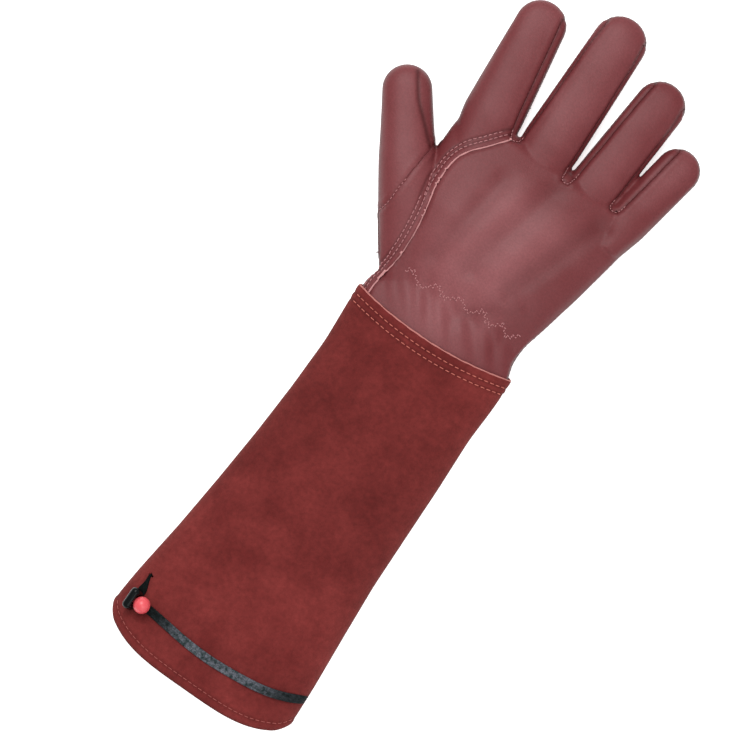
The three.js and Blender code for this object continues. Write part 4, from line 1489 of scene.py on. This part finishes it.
def tape_line():
    """Places along the tape on the cuff, each with its width and its share across the cuff."""
    x, y, width = spline([(*tape_place(row), row["width"]) for row in TAPE_ROUTE], 600).T
    size = cuff_size(y)
    across = (x - size["centre"]) / size["half"]
    line = np.column_stack([x, y, cuff_top_at(x, y), width, across])
    line = line[: int(np.argmax(across > 0.9995)) or len(line)]
    side_end = line[-1].copy()
    side_end[2] = SIDE_SEAM_Z + 0.4
    line = np.vstack([line, side_end])
    reach = reach_of(line[:, :3])
    return line_at(np.arange(0, reach[-1], TAPE_STEP), reach, line)



def build_tape():
    line = tape_line()
    spots = smooth_line(line[:, :3], 6)
    tangent = unit(np.gradient(spots, axis=0))
    slope = section_slope(np.clip(line[:, 4], -0.999, 0.999), cuff_size(spots[:, 1]))
    normal = unit(np.column_stack([-slope, 0 * slope, np.ones(len(slope))]))
    normal = unit(normal - tangent * (normal * tangent).sum(axis=1)[:, None])
    aside = np.cross(normal, tangent)
    half = (TAPE_WIDTH_IN_LOCK + (TAPE_WIDTH - TAPE_WIDTH_IN_LOCK) * np.clip(line[:, 3], 0, 1)) / 2
    from_slit = np.arange(len(half)) * TAPE_STEP
    half *= 0.4 + 0.6 * rising(from_slit, SLIT_TAPER)
    # Gathered wide where it comes out of the lock
    half *= 1 + 0.6 * bell(from_slit - SLIT_TAPER, 4)
    # At the cuff's side it is pressed into the suede
    pressed = rising(line[:, 4] - 0.82, 0.14)
    ribs = 4
    across = np.linspace(-1, 1, ribs * 6 + 1)
    crest = TAPE * (0.8 + 0.2 * np.abs(np.sin(across * ribs * np.pi / 2)) ** 0.7)
    crest *= np.where(np.abs(across) > 0.96, 0.75, 1)
    profile = [(s, GAP + h) for s, h in zip(across, crest)] + [(s, GAP - 0.25) for s in across[::-6]]
    rings = []
    for p, a, n, wide, sunk in zip(spots, aside, normal, half, pressed):
        rings.append(np.array([p + a * s * wide + n * (h - sunk) for s, h in profile]))
    # The end goes down through the slit
    for drop in (0.7, 1.6, 2.6):
        rings.insert(0, rings[0] - normal[0] * drop - tangent[0] * 0.5)
    points, faces = closed_form(rings)
    what = (DRAWCORD_TAPE, "drawcord_tape", "drawcord")
    strap = plan_piece("drawcord_strap", points, outward(points, faces), *what)
    # Painted shadow of the lock and ball near the lock, and darker towards the other end
    lock_shadow = 1 / (1 + np.exp((points[:, 0] + TAPE_PAINTED_SHADOW_TO) / 4))
    far_end = 0.9 / (1 + np.exp((TAPE_DARK_FROM - points[:, 0]) / 5))
    add_attribute(strap, "dark", np.maximum(lock_shadow, far_end))


# Cord lock

LOCK_X = LOCK_FROM_EDGE - HALF_MOUTH
LOCK_Y = LOCK_FROM_MOUTH - CUFF_LENGTH
CUP_BOTTOM_X = -BALL_DIAMETER / 2 - BUTTON_TRAVEL - GAP
HOUSING_FACE_X = CUP_BOTTOM_X + CUP_DEPTH
LOCK_REACH = HOUSING_THICKNESS - HOUSING_FACE_X
STEM_Z = TAPE_TOP + GAP + BALL_DIAMETER / 2


def lock_matrix():
    foot = float(cuff_top_at(LOCK_X, LOCK_Y))
    tilt = math.atan2(float(cuff_top_at(LOCK_X - LOCK_REACH, LOCK_Y)) - foot, LOCK_REACH)
    place = Matrix.Translation(Vector(to_frame([LOCK_X, LOCK_Y, foot])))
    return place @ Matrix.Rotation(tilt, 4, "Y") @ Matrix.Scale(MM, 4)


def rounded_block(size, middle, cutter):
    """Block with rounded edges, with a turned form cut out of it."""
    bpy.ops.mesh.primitive_cube_add(size=1)
    block = bpy.context.object
    block.data.transform(Matrix.Translation(Vector(middle)) @ Matrix.Diagonal((*size, 1)))
    modifier = block.modifiers.new("edges", "BEVEL")
    modifier.width = HOUSING_ROUNDING
    modifier.segments = ROUNDING_STEPS
    tool = add_object("cutter", cutter)
    modifier = block.modifiers.new("cup", "BOOLEAN")
    modifier.operation = "DIFFERENCE"
    modifier.object = tool
    mesh = applied(block)
    bpy.data.objects.remove(tool)
    return mesh


def turned(profile, sides=48):
    """Turned form about the stem's axis from (along, radius) pairs."""
    cosine, sine = circle(sides)
    rings = [np.hstack([0 * cosine + a, r * cosine, r * sine]) for a, r in profile]
    points, faces = closed_form(rings)
    mesh = mesh_of("turned", points, outward(points, faces))
    mesh.transform(Matrix.Translation(Vector((0, 0, STEM_Z))))
    return mesh


def build_lock():
    radius = BALL_DIAMETER / 2
    shaft = STEM_DIAMETER / 2
    # Cup and bore in the housing's face
    wide = radius + GAP
    bore_end = CUP_BOTTOM_X - STEM_SEAT - BUTTON_TRAVEL - GAP
    cup = [(bore_end, 0.05), (bore_end, shaft + GAP), (CUP_BOTTOM_X - 0.1, shaft + GAP)]
    cup += [(-BUTTON_TRAVEL - wide * math.cos(a), wide * math.sin(a)) for a in np.radians(range(24, 91, 6))]
    cup += [(radius, wide), (radius, 0.05)]
    foot = TAPE_TOP + GAP - 0.6
    top = STEM_Z + HOUSING_HEIGHT / 2
    size = (HOUSING_THICKNESS, HOUSING_LENGTH, top - foot)
    middle = (HOUSING_FACE_X - HOUSING_THICKNESS / 2, 0, (top + foot) / 2)
    block = rounded_block(size, middle, turned(cup))
    block.transform(lock_matrix())
    add_piece("lock_housing_body", block, LOCK_BLACK, "lock_black", "lock_housing")
    # Ball-headed plunger
    stem_end = CUP_BOTTOM_X - STEM_SEAT
    profile = [(stem_end, 0.1), (stem_end, shaft), (-radius - 0.3, shaft)]
    profile += [(-radius * math.cos(a), radius * math.sin(a)) for a in np.radians(np.linspace(24, 178, 40))]
    button = turned(profile)
    button.transform(lock_matrix())
    add_piece("lock_button_ball", button, LOCK_RED, "lock_red", "lock_button", "button")


# Whole scene

cuff_tree = build_cuff()
seams, hand_tree = build_hand()
build_patch(hand_tree)
build_hand_thread(seams, hand_tree)
build_cuff_thread(cuff_tree)
build_tape()
build_lock()

bpy.ops.mesh.primitive_plane_add(size=6, location=(0, 0, -0.0003))
floor = bpy.context.object
floor.name = "floor"
floor.data.materials.append(FLOOR_WHITE)
